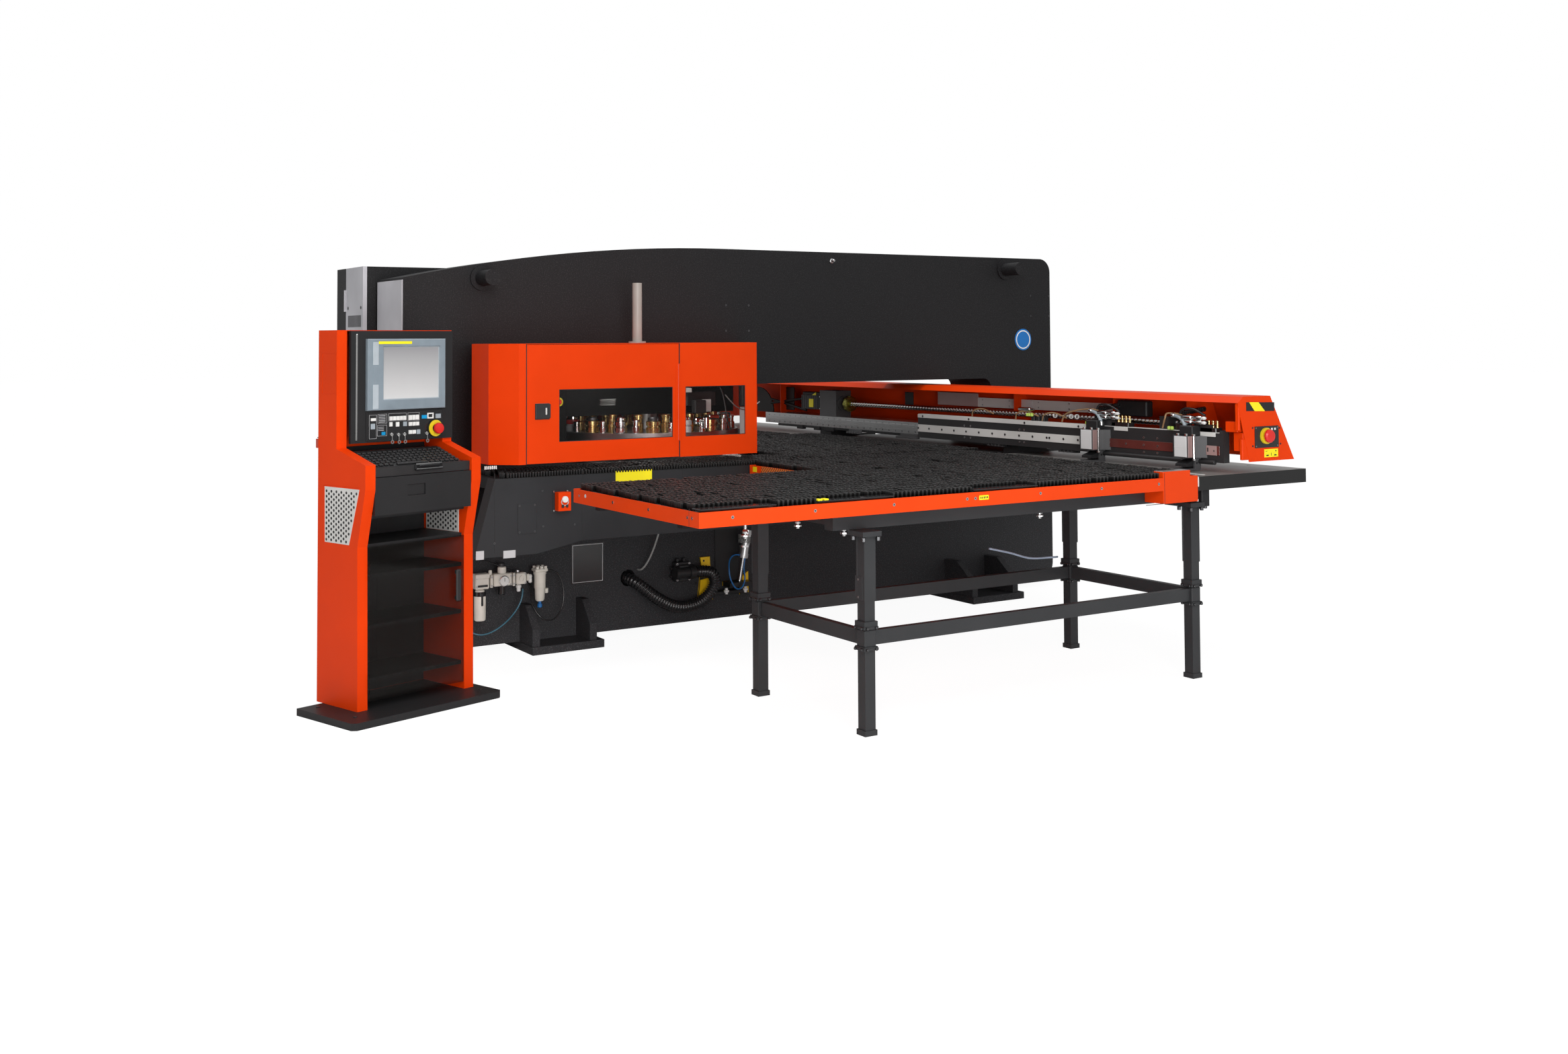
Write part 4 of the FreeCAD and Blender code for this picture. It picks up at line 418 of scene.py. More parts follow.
def twoToneAndSheen(name, upper, lower, height, reach, rough=0.4, specular=0.2):
    # paint of one colour where both z < height and y < reach and another elsewhere, with drift and uneven
    # gloss; on the tables a red band over black, on the slabs a grey top that is a painted sheen over black
    finish = Finish(name, specular)
    slow = finish.noise(2.2)
    under = (finish.axis("Z") < height) * (finish.axis("Y") < reach)
    shade = finish.blend(under, upper, lower)
    finish.set(Base_Color=finish.add("ShaderNodeMix", {"data_type": "RGBA", "blend_type": "MULTIPLY"},
            {0: 0.12, 6: shade, 7: finish.ramp(slow, (0.35, (0.3, 0.3, 0.3)), (0.65, (1.0, 1.0, 1.0)))}, 2),
        Roughness=rough - 0.06 + slow * 0.12)
    return finish.bump(finish.noise(800.0, 2.0), 0.1, 0.0006).material


finishes = {
    "wrinkleBlack": wrinkled("wrinkle_black_painted_floor_light", (0.012, 0.012, 0.013), (0.036, 0.036, 0.038), 170.0),
    "satinBlack": paint("satin_black", (0.018, 0.018, 0.019), 0.46, 600.0, 0.2, specular=0.22),
    "greyBlack": paint("grey_black", (0.0225, 0.023, 0.025), 0.46, 600.0, 0.2, specular=0.2),
    "legGrey": paint("leg_grey", (0.030, 0.031, 0.033), 0.42, 700.0, 0.15, specular=0.3),
    "lightGrey": paint("light_grey", (0.50, 0.50, 0.53), 0.5, 500.0, 0.25, specular=0.25),
    "redPaint": paint("red_paint", (0.70, 0.043, 0.001), 0.42, 800.0, 0.10, drift=0.05, specular=0.1),
    "tablePaint": twoToneAndSheen("table_paint", (0.74, 0.050, 0.001), (0.008, 0.008, 0.009), 0.8806, 1.945),
    "whitePaint": paint("white_paint", (0.75, 0.75, 0.72), 0.4),
    "yellowPaint": paint("yellow_paint", (0.92, 0.56, 0.01), 0.38),
    "labelYellow": paint("label_yellow", (0.86, 0.74, 0.01), 0.35, 900.0, 0.03),
    "labelBlue": paint("label_blue", (0.01, 0.17, 0.52), 0.35, 900.0, 0.03),
    "labelSilver": paint("label_silver", (0.45, 0.45, 0.46), 0.35, 900.0, 0.03),
    "machined": metal("machined_steel", (0.56, 0.56, 0.56), 0.34),
    "bandBlack": paint("band_black", (0.022, 0.022, 0.023), 0.42, 500.0, 0.3, specular=0.4),
    "railSteel": metal("rail_steel", (0.62, 0.62, 0.62), 0.25, (3, 400, 400)),
    "lcdGrey": moulded("lcd_grey", (0.22, 0.27, 0.31), 0.4),
    "lcdLight": moulded("lcd_light", (0.42, 0.47, 0.51), 0.35),
    "screenGlow": glowing("screen_glow", (0.56, 0.56, 0.56), (0.27, 0.27, 0.28), 1.32, 1.56, 0.08),
    "keyBlue": moulded("key_blue", (0.0, 0.30, 0.62), 0.35),
    "silver": paint("silver_plate", (0.60, 0.59, 0.57), 0.42, 900.0, 0.05, drift=0.08, specular=0.5),
    "castGrey": paint("cast_grey", (0.075, 0.075, 0.078), 0.5, 350.0, 0.5, 0.0015, 0.2, specular=0.35),
    # steel coloured pink as a painted reflection of the red paint around it
    "pinkSteel": paint("steel_painted_red_reflection", (0.30, 0.19, 0.18), 0.32, 900.0, 0.05, drift=0.2, specular=0.6),
    # the hinge's bright pink is a painted highlight with a painted reflection of the red paint
    "hingePink": paint("hinge_pink", (0.85, 0.42, 0.36), 0.3, 900.0, 0.05, specular=0.6),
    # steel coloured dark red as a painted reflection of the red paint around it
    "redSteel": paint("steel_painted_deep_red_reflection", (0.10, 0.022, 0.018), 0.25, 900.0, 0.03, drift=0.3, specular=0.6),
    "whitePlate": paint("white_plate", (0.62, 0.62, 0.62), 0.35, 900.0, 0.04, specular=0.5),
    "olive": metal("olive_coupling", (0.34, 0.33, 0.08), 0.35, (60, 60, 60)),
    "brass": metal("brass", (0.70, 0.52, 0.24), 0.25, (60, 60, 60), 0.03, 0.1),
    "bright": metal("bright_steel", (0.72, 0.72, 0.71), 0.16, (60, 60, 60), 0.03, 0.1),
    "darkSteel": metal("dark_steel", (0.11, 0.11, 0.115), 0.42, (80, 80, 80)),
    "goldCoat": metal("gold_coat", (0.72, 0.52, 0.22), 0.25, (200, 200, 40)),
    # bristles: the black roots are painted shade, the grey tips a painted sheen
    "bristle": bristles("bristle_nylon_painted_tip_sheen", (0.001, 0.001, 0.001), (0.050, 0.050, 0.050), 0.936, 0.965),
    "combNylon": bristles("comb_nylon", (0.003, 0.003, 0.003), (0.09, 0.09, 0.092), 0.928, 0.985),
    # the slabs' grey top is a painted sheen; below it they are black
    "slabPaint": twoToneAndSheen("slab_black_painted_top_sheen", (0.17, 0.163, 0.155), (0.008, 0.008, 0.008), 0.9345, 9.0, 0.30, 0.5),
    # the cylinder brackets are yellow; the near-black past x = 0.2085 is painted shade
    "bracketYellowAndShade": split("bracket_yellow_painted_shade", "X", 0.2085, (0.92, 0.56, 0.01), (0.012, 0.012, 0.012)),
    "tealTube": moulded("teal_tube", (0.04, 0.14, 0.20), 0.2),
    # a near-black sheet standing for the shade inside the turret cover: painted shade
    "lining": moulded("painted_shade_sheet", (0.002, 0.002, 0.002), 0.6, specular=0.1),
    "rubber": moulded("hose_rubber", (0.014, 0.014, 0.015), 0.26, 900.0, 0.05, 0.7),
    "glossBlack": moulded("gloss_black", (0.012, 0.012, 0.013), 0.14, 60.0, 0.02, 0.6),
    "blackPlastic": moulded("black_plastic", (0.020, 0.020, 0.021), 0.42),
    "greyPlastic": moulded("grey_plastic", (0.35, 0.40, 0.44), 0.4),
    "creamPlastic": moulded("cream_plastic", (0.80, 0.77, 0.69), 0.38),
    "whitePlastic": moulded("white_plastic", (0.82, 0.82, 0.80), 0.35),
    "redPlastic": moulded("red_plastic", (0.70, 0.025, 0.02), 0.25),
    "yellowPlastic": moulded("yellow_plastic", (0.80, 0.62, 0.02), 0.35),
    "greenPlastic": moulded("green_plastic", (0.45, 0.62, 0.10), 0.35),
    "bluePlastic": moulded("blue_plastic", (0.02, 0.16, 0.45), 0.25),
    "blueTube": moulded("blue_tube", (0.02, 0.16, 0.45), 0.22),
    "board": moulded("brush_board", (0.010, 0.010, 0.011), 0.55),
    "greyCable": moulded("grey_cable", (0.32, 0.32, 0.31), 0.45),
    "tanCable": moulded("tan_cable", (0.34, 0.20, 0.10), 0.4),
    "paleCable": moulded("pale_cable", (0.42, 0.52, 0.66), 0.4),
    "postSteel": paint("post_steel", (0.34, 0.33, 0.30), 0.36, 900.0, 0.04, drift=0.15, specular=0.5),
    "hazardPaint": hazard("hazard_paint", (0.02, 0.02, 0.02), (0.80, 0.20, 0.02), 0.018),
    "clearPane": pane("clear_pane", (0.02, 0.02, 0.02), 0.10),
    "smokedPane": pane("smoked_pane", (0.010, 0.009, 0.008), 0.30),
}
nodeFinish = {
    "wrinkleBlack": ["bridge_frame", "front_foot", "rear_foot", "electrical_cabinet", "lifting_bosses"],
    "satinBlack": ["carriage_base", "console_base", "console_front", "centre_table", "console_shelves",
                   "console_drawer", "clamp_jaw_near", "clamp_jaw_far"],
    "greyBlack": ["table_skirts"],
    "legGrey": ["leg_stands"],
    "lightGrey": ["frame_end_cover", "cabinet_door"],
    "redPaint": ["turret_cover", "far_cover", "turret_door", "beam_cover", "console_body",
                 "button_box"],
    "machined": ["ram", "ram_housing", "y_rails", "upper_turret", "lower_turret", "turret_bearings",
                 "air_cylinder"],
    "postSteel": ["steel_post"],
    "bright": ["ball_screw"],
    "bandBlack": ["x_carriage"],
    "castGrey": ["screw_motor", "clamp_bodies"],
    "railSteel": ["x_beam"],
    "goldCoat": ["punch_holders"],
    "bristle": ["centre_brushes", "table_brushes"],
    "clearPane": ["door_window", "side_window"],
    "smokedPane": ["console_door"],
    "blackPlastic": ["door_latch", "regulator_knob", "valve_bank", "keyboard_drawer", "hose_elbow"],
    "redPlastic": ["console_stop_button", "beam_stop_button"],
    "screenGlow": ["console_screen"],
    "whitePlastic": ["feed_button"],
    "creamPlastic": ["air_unit", "air_filter"],
    "rubber": ["ribbed_hose"],
    "greyCable": ["signal_cable"],
    "bracketYellowAndShade": ["cylinder_brackets"],
    "slabPaint": ["slab_tables"],
    "blueTube": ["air_tubes"],
    "tablePaint": ["near_table", "far_table"],
}
for key, nodes in nodeFinish.items():
    for node in nodes:
        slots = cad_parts[node].data.materials
        slots.clear()
        slots.append(finishes[key])
print("stage: %d finishes on the carried-over nodes" % len(finishes))

view = {"place": (7.4686, -3.2157, 1.580), "yaw": 32.135, "pitch": 2.075, "roll": -0.281, "lens": 34.497,
    "shiftX": 0.00724, "shiftY": -0.15418}


def addCamera():
    # forward, right and up of the camera from its yaw and pitch, then turned by its roll
    yaw, pitch, roll = [math.radians(view[key]) for key in ("yaw", "pitch", "roll")]
    forward = np.array([-math.cos(yaw) * math.cos(pitch), math.sin(yaw) * math.cos(pitch), math.sin(pitch)])
    right = np.array([math.sin(yaw), math.cos(yaw), 0.0])
    up = np.cross(right, forward)
    right, up = (math.cos(roll) * right + math.sin(roll) * up, math.cos(roll) * up - math.sin(roll) * right)
    data = bpy.data.cameras.new("camera")
    data.lens, data.sensor_width, data.sensor_fit = view["lens"], 36.0, "HORIZONTAL"
    data.shift_x, data.shift_y = view["shiftX"], view["shiftY"]
    data.clip_start, data.clip_end = 0.1, 200.0
    camera = bpy.data.objects.new("camera", data)
    matrix = np.eye(4)
    matrix[:3, 0], matrix[:3, 1], matrix[:3, 2], matrix[:3, 3] = right, up, -forward, view["place"]
    camera.matrix_world = matrix.T.tolist()
    bpy.context.scene.collection.objects.link(camera)
    bpy.context.scene.camera = camera


# each lamp: its place, aim, size, power and colour
lamps = {
    "key": ((7.6, -2.6, 4.4), (0.5, 0.4, 0.9), 3.2, 240.0, (1.0, 0.99, 0.97)),
    "low": ((7.8, -1.6, 0.7), (0.5, 0.4, 0.2), 2.4, 205.0, (1.0, 1.0, 1.0)),
    "side": ((7.5, 4.5, 4.2), (1.0, 1.5, 0.9), 3.2, 30.0, (0.98, 0.99, 1.0)),
    "inner": ((0.60, 0.25, 1.48), (0.42, 0.28, 1.12), 0.2, 4.0, (1.0, 0.98, 0.95)),
    "top": ((0.5, 1.0, 7.0), (0.5, 1.0, 0.5), 5.0, 230.0, (1.0, 1.0, 1.0)),
}
worldLevel = 0.5


def addLights():
    # square lamps from the table above, each turned to its aim, and an even white surround
    for name, (place, aim, size, power, colour) in lamps.items():
        data = bpy.data.lights.new(name, "AREA")
        data.shape, data.size, data.energy, data.color = "SQUARE", size, power, colour
        lamp = bpy.data.objects.new(name, data)
        lamp.location = place
        lamp.rotation_euler = (Vector(aim) - Vector(place)).to_track_quat("-Z", "Y").to_euler()
        bpy.context.scene.collection.objects.link(lamp)
    world = bpy.data.worlds.new("studio")
    world.use_nodes = True
    bpy.context.scene.world = world
    nodes, links = world.node_tree.nodes, world.node_tree.links
    # seen by the camera the backdrop is white, for every other ray it is the even light's level
    path, level = nodes.new("ShaderNodeLightPath"), nodes.new("ShaderNodeMath")
    level.operation = "MULTIPLY_ADD"
    level.inputs[1].default_value, level.inputs[2].default_value = 1.0 - worldLevel, worldLevel
    seen = nodes.new("ShaderNodeMath")
    seen.operation, seen.use_clamp = "ADD", True
    links.new(path.outputs["Is Camera Ray"], seen.inputs[0])
    links.new(path.outputs["Is Transmission Ray"], seen.inputs[1])
    links.new(seen.outputs[0], level.inputs[0])
    links.new(level.outputs[0], nodes["Background"].inputs["Strength"])
    nodes["Background"].inputs["Color"].default_value = (1.0, 1.0, 1.0, 1.0)


def addFloor():
    # a white floor: lit as a pale grey for shadows, then lifted to white for the camera by its own light
    mesh = bpy.data.meshes.new("floor")
    size = 60.0
    mesh.from_pydata([(-size, -size, 0), (size, -size, 0), (size, size, 0), (-size, size, 0)], [],
        [(0, 1, 2, 3)])
    item = bpy.data.objects.new("floor", mesh)
    bpy.context.scene.collection.objects.link(item)
    finish = Finish("floor_white")
    path = finish.add("ShaderNodeLightPath", {}, [], "Is Camera Ray")
    finish.set(Base_Color=(0.80, 0.80, 0.80), Roughness=0.9, Emission_Color=(1.0, 1.0, 1.0))
    tree = finish.tree
    glow = tree.nodes.new("ShaderNodeEmission")
    mix = tree.nodes.new("ShaderNodeMixShader")
    level = path * 0.86
    glow.inputs["Strength"].default_value = 1.1
    tree.links.new(level.socket, mix.inputs[0])
    tree.links.new(finish.shader.outputs[0], mix.inputs[1])
    tree.links.new(glow.outputs[0], mix.inputs[2])
    tree.links.new(mix.outputs[0], tree.nodes["Material Output"].inputs["Surface"])
    mesh.materials.append(finish.material)


addCamera()
addLights()
addFloor()
bpy.context.scene.view_settings.view_transform = "Standard"
print("stage: camera, light and floor")

cords = {
    "unitTube": {"radius": 0.004, "finish": "tealTube", "body": "machine", "stiffness": "limp",
        "replaces": "air_tubes", "points": [(0.29, -0.213, 0.324), (0.29, -0.213, 0.278),
            (0.294, -0.252, 0.212), (0.300, -0.312, 0.160), (0.298, -0.374, 0.124), (0.290, -0.438, 0.110),
            (0.272, -0.492, 0.134), (0.250, -0.524, 0.176), (0.230, -0.532, 0.202),
            (0.200, -0.532, 0.202)]},
    "filterTube": {"radius": 0.004, "finish": "rubber", "body": "machine", "stiffness": "limp",
        "replaces": "air_tubes", "points": [(0.29, -0.09, 0.406), (0.29, -0.036, 0.406),
            (0.29, 0.008, 0.340), (0.294, 0.014, 0.240), (0.312, -0.026, 0.170), (0.332, -0.084, 0.150),
            (0.334, -0.140, 0.178), (0.298, -0.168, 0.240), (0.262, -0.158, 0.300), (0.236, -0.148, 0.340),
            (0.200, -0.148, 0.340)]},
    "cylinderTube": {"radius": 0.004, "finish": "blueTube", "body": "machine", "stiffness": "limp",
        "replaces": "air_tubes", "points": [(0.262, 1.0831, 0.3872), (0.262, 1.0478, 0.3941),
            (0.276, 1.010, 0.366), (0.300, 0.994, 0.318), (0.306, 1.000, 0.262), (0.306, 1.036, 0.205),
            (0.306, 1.080, 0.212), (0.302, 1.098, 0.262), (0.288, 1.099, 0.296), (0.281, 1.1002, 0.3252),
            (0.281, 1.1088, 0.3694)]},
    "greyCord": {"radius": 0.005, "finish": "greyCable", "body": "machine", "stiffness": "limp",
        "replaces": "signal_cable", "points": [(0.31, 0.570, 0.685), (0.31, 0.570, 0.618),
            (0.302, 0.558, 0.544), (0.288, 0.538, 0.470), (0.270, 0.514, 0.402), (0.246, 0.486, 0.350),
            (0.200, 0.486, 0.350)]},
}


def smoothLine(name, points, steps):
    # a curve of the third order through the route's control points, from the first to the last
    line = bpy.data.curves.new(name, "CURVE")
    line.dimensions, line.resolution_u = "3D", steps
    spline = line.splines.new("NURBS")
    spline.points.add(len(points) - 1)
    for point, place in zip(spline.points, points):
        point.co = (*place, 1.0)
    spline.order_u, spline.use_endpoint_u = 3, True
    return line


def addCord(name, facts):
    # the smooth line with a round section
    line = smoothLine(name, facts["points"], 12)
    line.bevel_depth, line.bevel_resolution, line.use_fill_caps = facts["radius"], 4, True
    line.materials.append(finishes[facts["finish"]])
    item = bpy.data.objects.new(name, line)
    bpy.context.scene.collection.objects.link(item)
    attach(item, facts["body"])
    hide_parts(facts["replaces"])
    return item


def lineOf(name, points):
    # the points along the smooth line, read from the curve with no section, and its length
    route = smoothLine(name, points, 16)
    holder = bpy.data.objects.new(name, route)
    mesh = bpy.data.meshes.new_from_object(holder)
    line = np.empty(len(mesh.vertices) * 3)
    mesh.vertices.foreach_get("co", line)
    line = line.reshape(-1, 3)
    bpy.data.meshes.remove(mesh)
    bpy.data.objects.remove(holder)
    bpy.data.curves.remove(route)
    return line, float(np.linalg.norm(np.diff(line, axis=0), axis=1).sum())


for name, facts in cords.items():
    line, length = lineOf("line", facts["points"])
    addCord(name, facts)

hose = {"points": [(0.115, 0.426, 0.310), (0.190, 0.426, 0.310), (0.255, 0.462, 0.282),
        (0.275, 0.560, 0.198), (0.275, 0.690, 0.130), (0.275, 0.842, 0.148), (0.275, 0.925, 0.235),
        (0.275, 0.912, 0.305), (0.275, 0.848, 0.322), (0.275, 0.756, 0.322)], "radius": 0.033,
    "rib": 0.0045, "ribs": 58, "plain": 0.05, "wall": 0.003}


def addHose():
    # radius along the line: a root plus ribs, rib height times a softened square wave of the distance
    line, length = lineOf("hoseLine", hose["points"])
    keep = np.concatenate([[True], np.linalg.norm(np.diff(line, axis=0), axis=1) > 1e-6])
    line = line[keep]
    along = np.concatenate([[0], np.cumsum(np.linalg.norm(np.diff(line, axis=0), axis=1))])
    rows = hose["ribs"] * 6
    d = np.linspace(0, along[-1], rows)
    path = np.stack([np.interp(d, along, line[:, i]) for i in range(3)], 1)
    step = np.gradient(path, axis=0)
    step /= np.linalg.norm(step, axis=1)[:, None]
    side = np.empty_like(step)
    side[0] = (0, 0, 1)
    for k in range(1, rows):
        across = side[k - 1] - step[k] * side[k - 1].dot(step[k])
        side[k] = across / np.linalg.norm(across)
    other = np.cross(step, side)
    wave = np.clip(0.5 + 1.3 * np.sin(2 * np.pi * hose["ribs"] * d / along[-1]), 0, 1)
    inside = np.clip(np.minimum(d, along[-1] - d) / hose["plain"], 0, 1) > 0.99
    radius = hose["radius"] - hose["rib"] * (1 - wave * inside)
    bore = np.full(rows, hose["radius"] - hose["rib"] - hose["wall"])
    segments = 28
    t = around(segments)[None, :, None]

    def sleeve(size):
        return path[:, None] + size[:, None, None] * (np.cos(t) * side[:, None] +
            np.sin(t) * other[:, None])
    grid = np.concatenate([sleeve(radius), sleeve(bore)[::-1]]).reshape(-1, 3)
    faces = skin(2 * rows, segments, True)
    mesh = bpy.data.meshes.new("ribbedHose")
    mesh.from_pydata(grid.tolist(), [], faces)
    mesh.polygons.foreach_set("use_smooth", np.ones(len(faces), bool))
    mesh.materials.append(finishes["rubber"])
    item = bpy.data.objects.new("ribbedHose", mesh)
    bpy.context.scene.collection.objects.link(item)
    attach(item, "machine")
    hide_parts("ribbed_hose")


addHose()
print("stage: tubes, hose and cable")

brushes = {"pitchX": 75.0, "pitchY": 21.0, "bunches": 4, "width": 56.0, "depth": 10.5, "root": 935.0,
    "tip": 963.5, "wander": 2.0, "shear": 13.0, "missing": 0.035, "seed": 7}


def tuftField(name, body, plots, replaces=(), bare=()):
    # comb strips on a slanted grid: x = x0 + (i + 1/2) pitchX, y = y0 + (j + 1/2) pitchY + (i shear mod
    # pitchY); each strip is a row of bunches, a bunch is a stub that widens from its root to its tip
    rng = np.random.default_rng(brushes["seed"])
    places = []
    for x0, x1, y0, y1 in plots:
        columns, rows = max(1,
            int(round((x1 - x0) / brushes["pitchX"]))), int((y1 - y0) / brushes["pitchY"])
        cx = x0 + (np.arange(columns) + 0.5) * (x1 - x0) / columns
        cy = y0 + (np.arange(rows) + 0.5) * (y1 - y0) / rows
        gx, gy = np.meshgrid(cx, cy, indexing="ij")
        gy = gy + ((np.arange(columns) * brushes["shear"]) % brushes["pitchY"] -
            brushes["pitchY"] / 2)[:, None]
        patch = np.sin(gx * 0.011 + gy * 0.017) * np.sin(gy * 0.0071 - gx * 0.005)
        kept = rng.uniform(size=gx.shape) > brushes["missing"] * (1 + 2.5 * patch)
        fits = kept & (gy > y0 + brushes["depth"] / 2) & (gy < y1 - brushes["depth"] / 2)
        places.append(np.stack([gx[fits], gy[fits]], 1))
    places = np.concatenate(places)
    for x0, x1, y0, y1 in bare:
        places = places[
            (places[:, 0] < x0) | (places[:, 0] > x1) | (places[:, 1] < y0) | (places[:, 1] > y1)]
    bunch = brushes["width"] / brushes["bunches"]
    offsets = (np.arange(brushes["bunches"]) + 0.5) * bunch - brushes["width"] / 2
    centre = (places[:, None] + np.stack([offsets, offsets * 0], 1)[None]).reshape(-1, 2)
    count = len(centre)
    corner = np.array([(-1, -1), (1, -1), (1, 1), (-1, 1)], float)
    rootSize, tipSize = np.array([[bunch * 0.36], [bunch * 0.47]]), np.array(
        [brushes["depth"] * 0.3, brushes["depth"] * 0.5])
    low = centre[:, None] + corner[None] * [rootSize[0, 0], tipSize[0]]
    high = centre[:, None] + corner[None] * [rootSize[1, 0],
        tipSize[1]] * rng.uniform(0.86, 1.0, (count, 4, 1))
    top = brushes["tip"] - rng.uniform(0, brushes["wander"], (count, 1)) - rng.uniform(0, 1.2, (count, 4))
    points = np.concatenate([np.concatenate([low, np.full((count, 4, 1), brushes["root"])], 2),
            np.concatenate([high, top[:, :, None]], 2)], 1).reshape(-1, 3)
    one = np.array([(0, 3, 2, 1), (4, 5, 6, 7), (0, 1, 5, 4), (1, 2, 6, 5), (2, 3, 7, 6), (3, 0, 4, 7)])
    faces = (one[None] + 8 * np.arange(count)[:, None, None]).reshape(-1, 4).tolist()
    boards = [block((x0, y0, 933.0), (x1, y1, 936.0), 0.4) for x0, x1, y0, y1 in plots]
    return build(name, body, ("bristle", (points, faces)), ("board", *boards), replaces=replaces)


fields = {"near": [(1486, 2578, -467, 1944), (1486, 2522, 1944, 2172), (878, 1486, 793, 2172)],
    "centre": [(-855, 855, 1152, 2320), (522, 855, -555, 1150), (-855, -522, -285, 1150)]}


def addBrushes():
    # the far fields are the near ones mirrored in x; no bristles stand under the tables' cover strips
    far = [(-x1, -x0, y0, y1) for x0, x1, y0, y1 in fields["near"]]
    bare = [(2510, 2585, y0, y1) for y0, y1 in edge["strips"]]
    tuftField("nearTableBrushes", "y_slide_body", fields["near"], ["table_brushes"], bare)
    tuftField("farTableBrushes", "y_slide_body", far, ["table_brushes"],
        [(-x1, -x0, y0, y1) for x0, x1, y0, y1 in bare])
    tuftField("centreBrushes", "machine", fields["centre"], ["centre_brushes"])


def screwHead(radius, height, socket=0.45):
    # a countersunk head along +Z: a bright ring round a dark socket
    return washer(radius * socket, radius, height, 16), rod(radius * socket, height * 0.4, 0.1, 6)


def screws(axis, places, radius=6.5, height=1.8, ring="darkSteel", socket="board"):
    # one row of screw heads along an axis, as a group of rings and a group of sockets
    head = zip((ring, socket), screwHead(radius, height))
    return [(finish, repeated(aimed(shape, axis), places)) for finish, shape in head]


edge = {"outer": 2585.0, "low": -475.0, "strips": [(-468, -132), (62, 428), (842, 1196)], "stripWide": 70.0,
    "frontScrews": [-331, 42, 423, 801, 845, 1206, 1566, 1922],
    "sideScrews": [1537, 1863, 2180, 2497, 2533], "screwZ": 914.5, "stripZ": (944, 951), "footZ": 786,
    "levelFeet": [(2299, -103), (2147, 246), (2453, 270), (2452, 1321)]}


def levelFoot():
    # a threaded stud with a lock nut, a cone and a hexagonal foot
    return joined(rod(6, 84, 1, 12), moved(rod(11, 8, 1, 6), z=60),
        moved(turned([(12, 0), (12, 7), (7, 16)], 14), z=22), moved(rod(16, 8, 1, 6), z=8),
        moved(rod(7, 10, 1, 12), z=0))


def addTableEdge():
    # screws along the fascia, glossy cover strips, seam, tabs, labels and level feet; fewer on the far side
    x, z, face = edge["outer"], edge["screwZ"], edge["low"]
    wide, strip = edge["stripWide"], edge["stripZ"]

    def strips(x0, x1):
        return [block((x0, y0, strip[0]), (x1, y1, strip[1]), 2.5) for y0, y1 in edge["strips"]]

    def feet(side):
        return [moved(levelFoot(), side * fx, fy, edge["footZ"]) for fx, fy in edge["levelFeet"]]

    def heads(axis, places):
        return screws(axis, places, ring="bright", socket="blackPlastic")
    letters = [block((x, 872 + 9 * k, 911), (x + 1.6, 877 + 9 * k, 920), 0.2) for k in range(5)]
    build("nearTableTrim", "y_slide_body", ("glossBlack", *strips(x - wide, x - 1.5)),
        *heads("x", [(x, y, z) for y in edge["frontScrews"]]),
        *heads("-y", [(sx, face, z) for sx in edge["sideScrews"]]),
        ("blackPlastic", block((2507, face - 0.4, 882), (2509, face + 2, 947), 0.2)),
        ("labelYellow", *[block((2548, y, 949), (2578, y + 20, 957), 1.5) for y in (62, 92)]),
        ("labelYellow",
            *boxes((x - 1, 866, 906, x + 1.2, 917, 925, 0.4), (903, 783.8, 908, 940, 786, 934, 0.4))),
        ("blackPlastic", *letters), ("labelSilver", aimed(rod(8, 1.5, 0.3, 20), "-y", 1598, face, 918)),
        ("hazardPaint", block((985, 783.6, 890), (1440, 786, 940), 0.4)), ("machined", *feet(1)))
    build("farTableTrim", "y_slide_body", ("glossBlack", *strips(1.5 - x, wide - x)),
        *heads("-x", [(-x, y, z) for y in edge["frontScrews"]]), ("machined", *feet(-1)))


addBrushes()
addTableEdge()
print("stage: brush fields and table edges")

bar = {"face": 2425.0, "from": 150.0, "to": 2500.0, "bands": [(1101, 1121), (1016, 1060)],
    "boltX": [157, 262, 385, 499, 611, 726, 844, 954, 1073, 1184, 1298, 1319, 1429, 1540],
    "pairX": [593, 648, 1073, 1112], "stripX": [200, 636, 1119, 1545], "clamps": [2338.0, 1694.0],
    "plate": 2331.5}


def helixRod(radius, groove, lead, start, end, segments=14, step=4.0):
    # r = radius - groove clip(1.6 sin(2 pi x / lead + t) - 0.3, 0, 1): the clip keeps the crest wide
    rows = int((end - start) / step)
    x, t = np.meshgrid(np.linspace(start, end, rows), around(segments), indexing="ij")
    r = radius - groove * np.clip(1.6 * np.sin(2 * np.pi * x / lead + t) - 0.3, 0, 1)
    return np.stack([x, r * np.cos(t), r * np.sin(t)], 2).reshape(-1, 3), skin(rows, segments)


drive = {"y": 2530.0, "z": 1152.0, "radius": 17.0, "groove": 5.0, "lead": 28.0}


def addScrew():
    # the threaded rod, its two plain ends and the coupling disc with eight teeth at 45 degrees
    y, z = drive["y"], drive["z"]
    teeth = [leaned(block((-9, 44, 0), (9, 51, 30), 1.5), "z", 45 * k) for k in range(8)]
    disc = joined(turned([(40, 0), (49, 4), (49, 30), (40, 34), (30, 34), (30, 45)], 32), *teeth)
    journals = joined(aimed(rod(12.5, 250, 1, 16), "x"), moved(aimed(rod(12.5, 60, 1, 16), "x"), x=3185))
    build("screwSpindle", "screw_body",
        ("bright", moved(helixRod(drive["radius"], drive["groove"], drive["lead"], -690, 2200), 0, y, z)),
        ("machined", moved(journals, -985, y, z)), ("olive", aimed(disc, "x", -735, y, z)), smooth=True,
        replaces=["ball_screw"])


motor = {"ribs": 8, "pitch": 22}


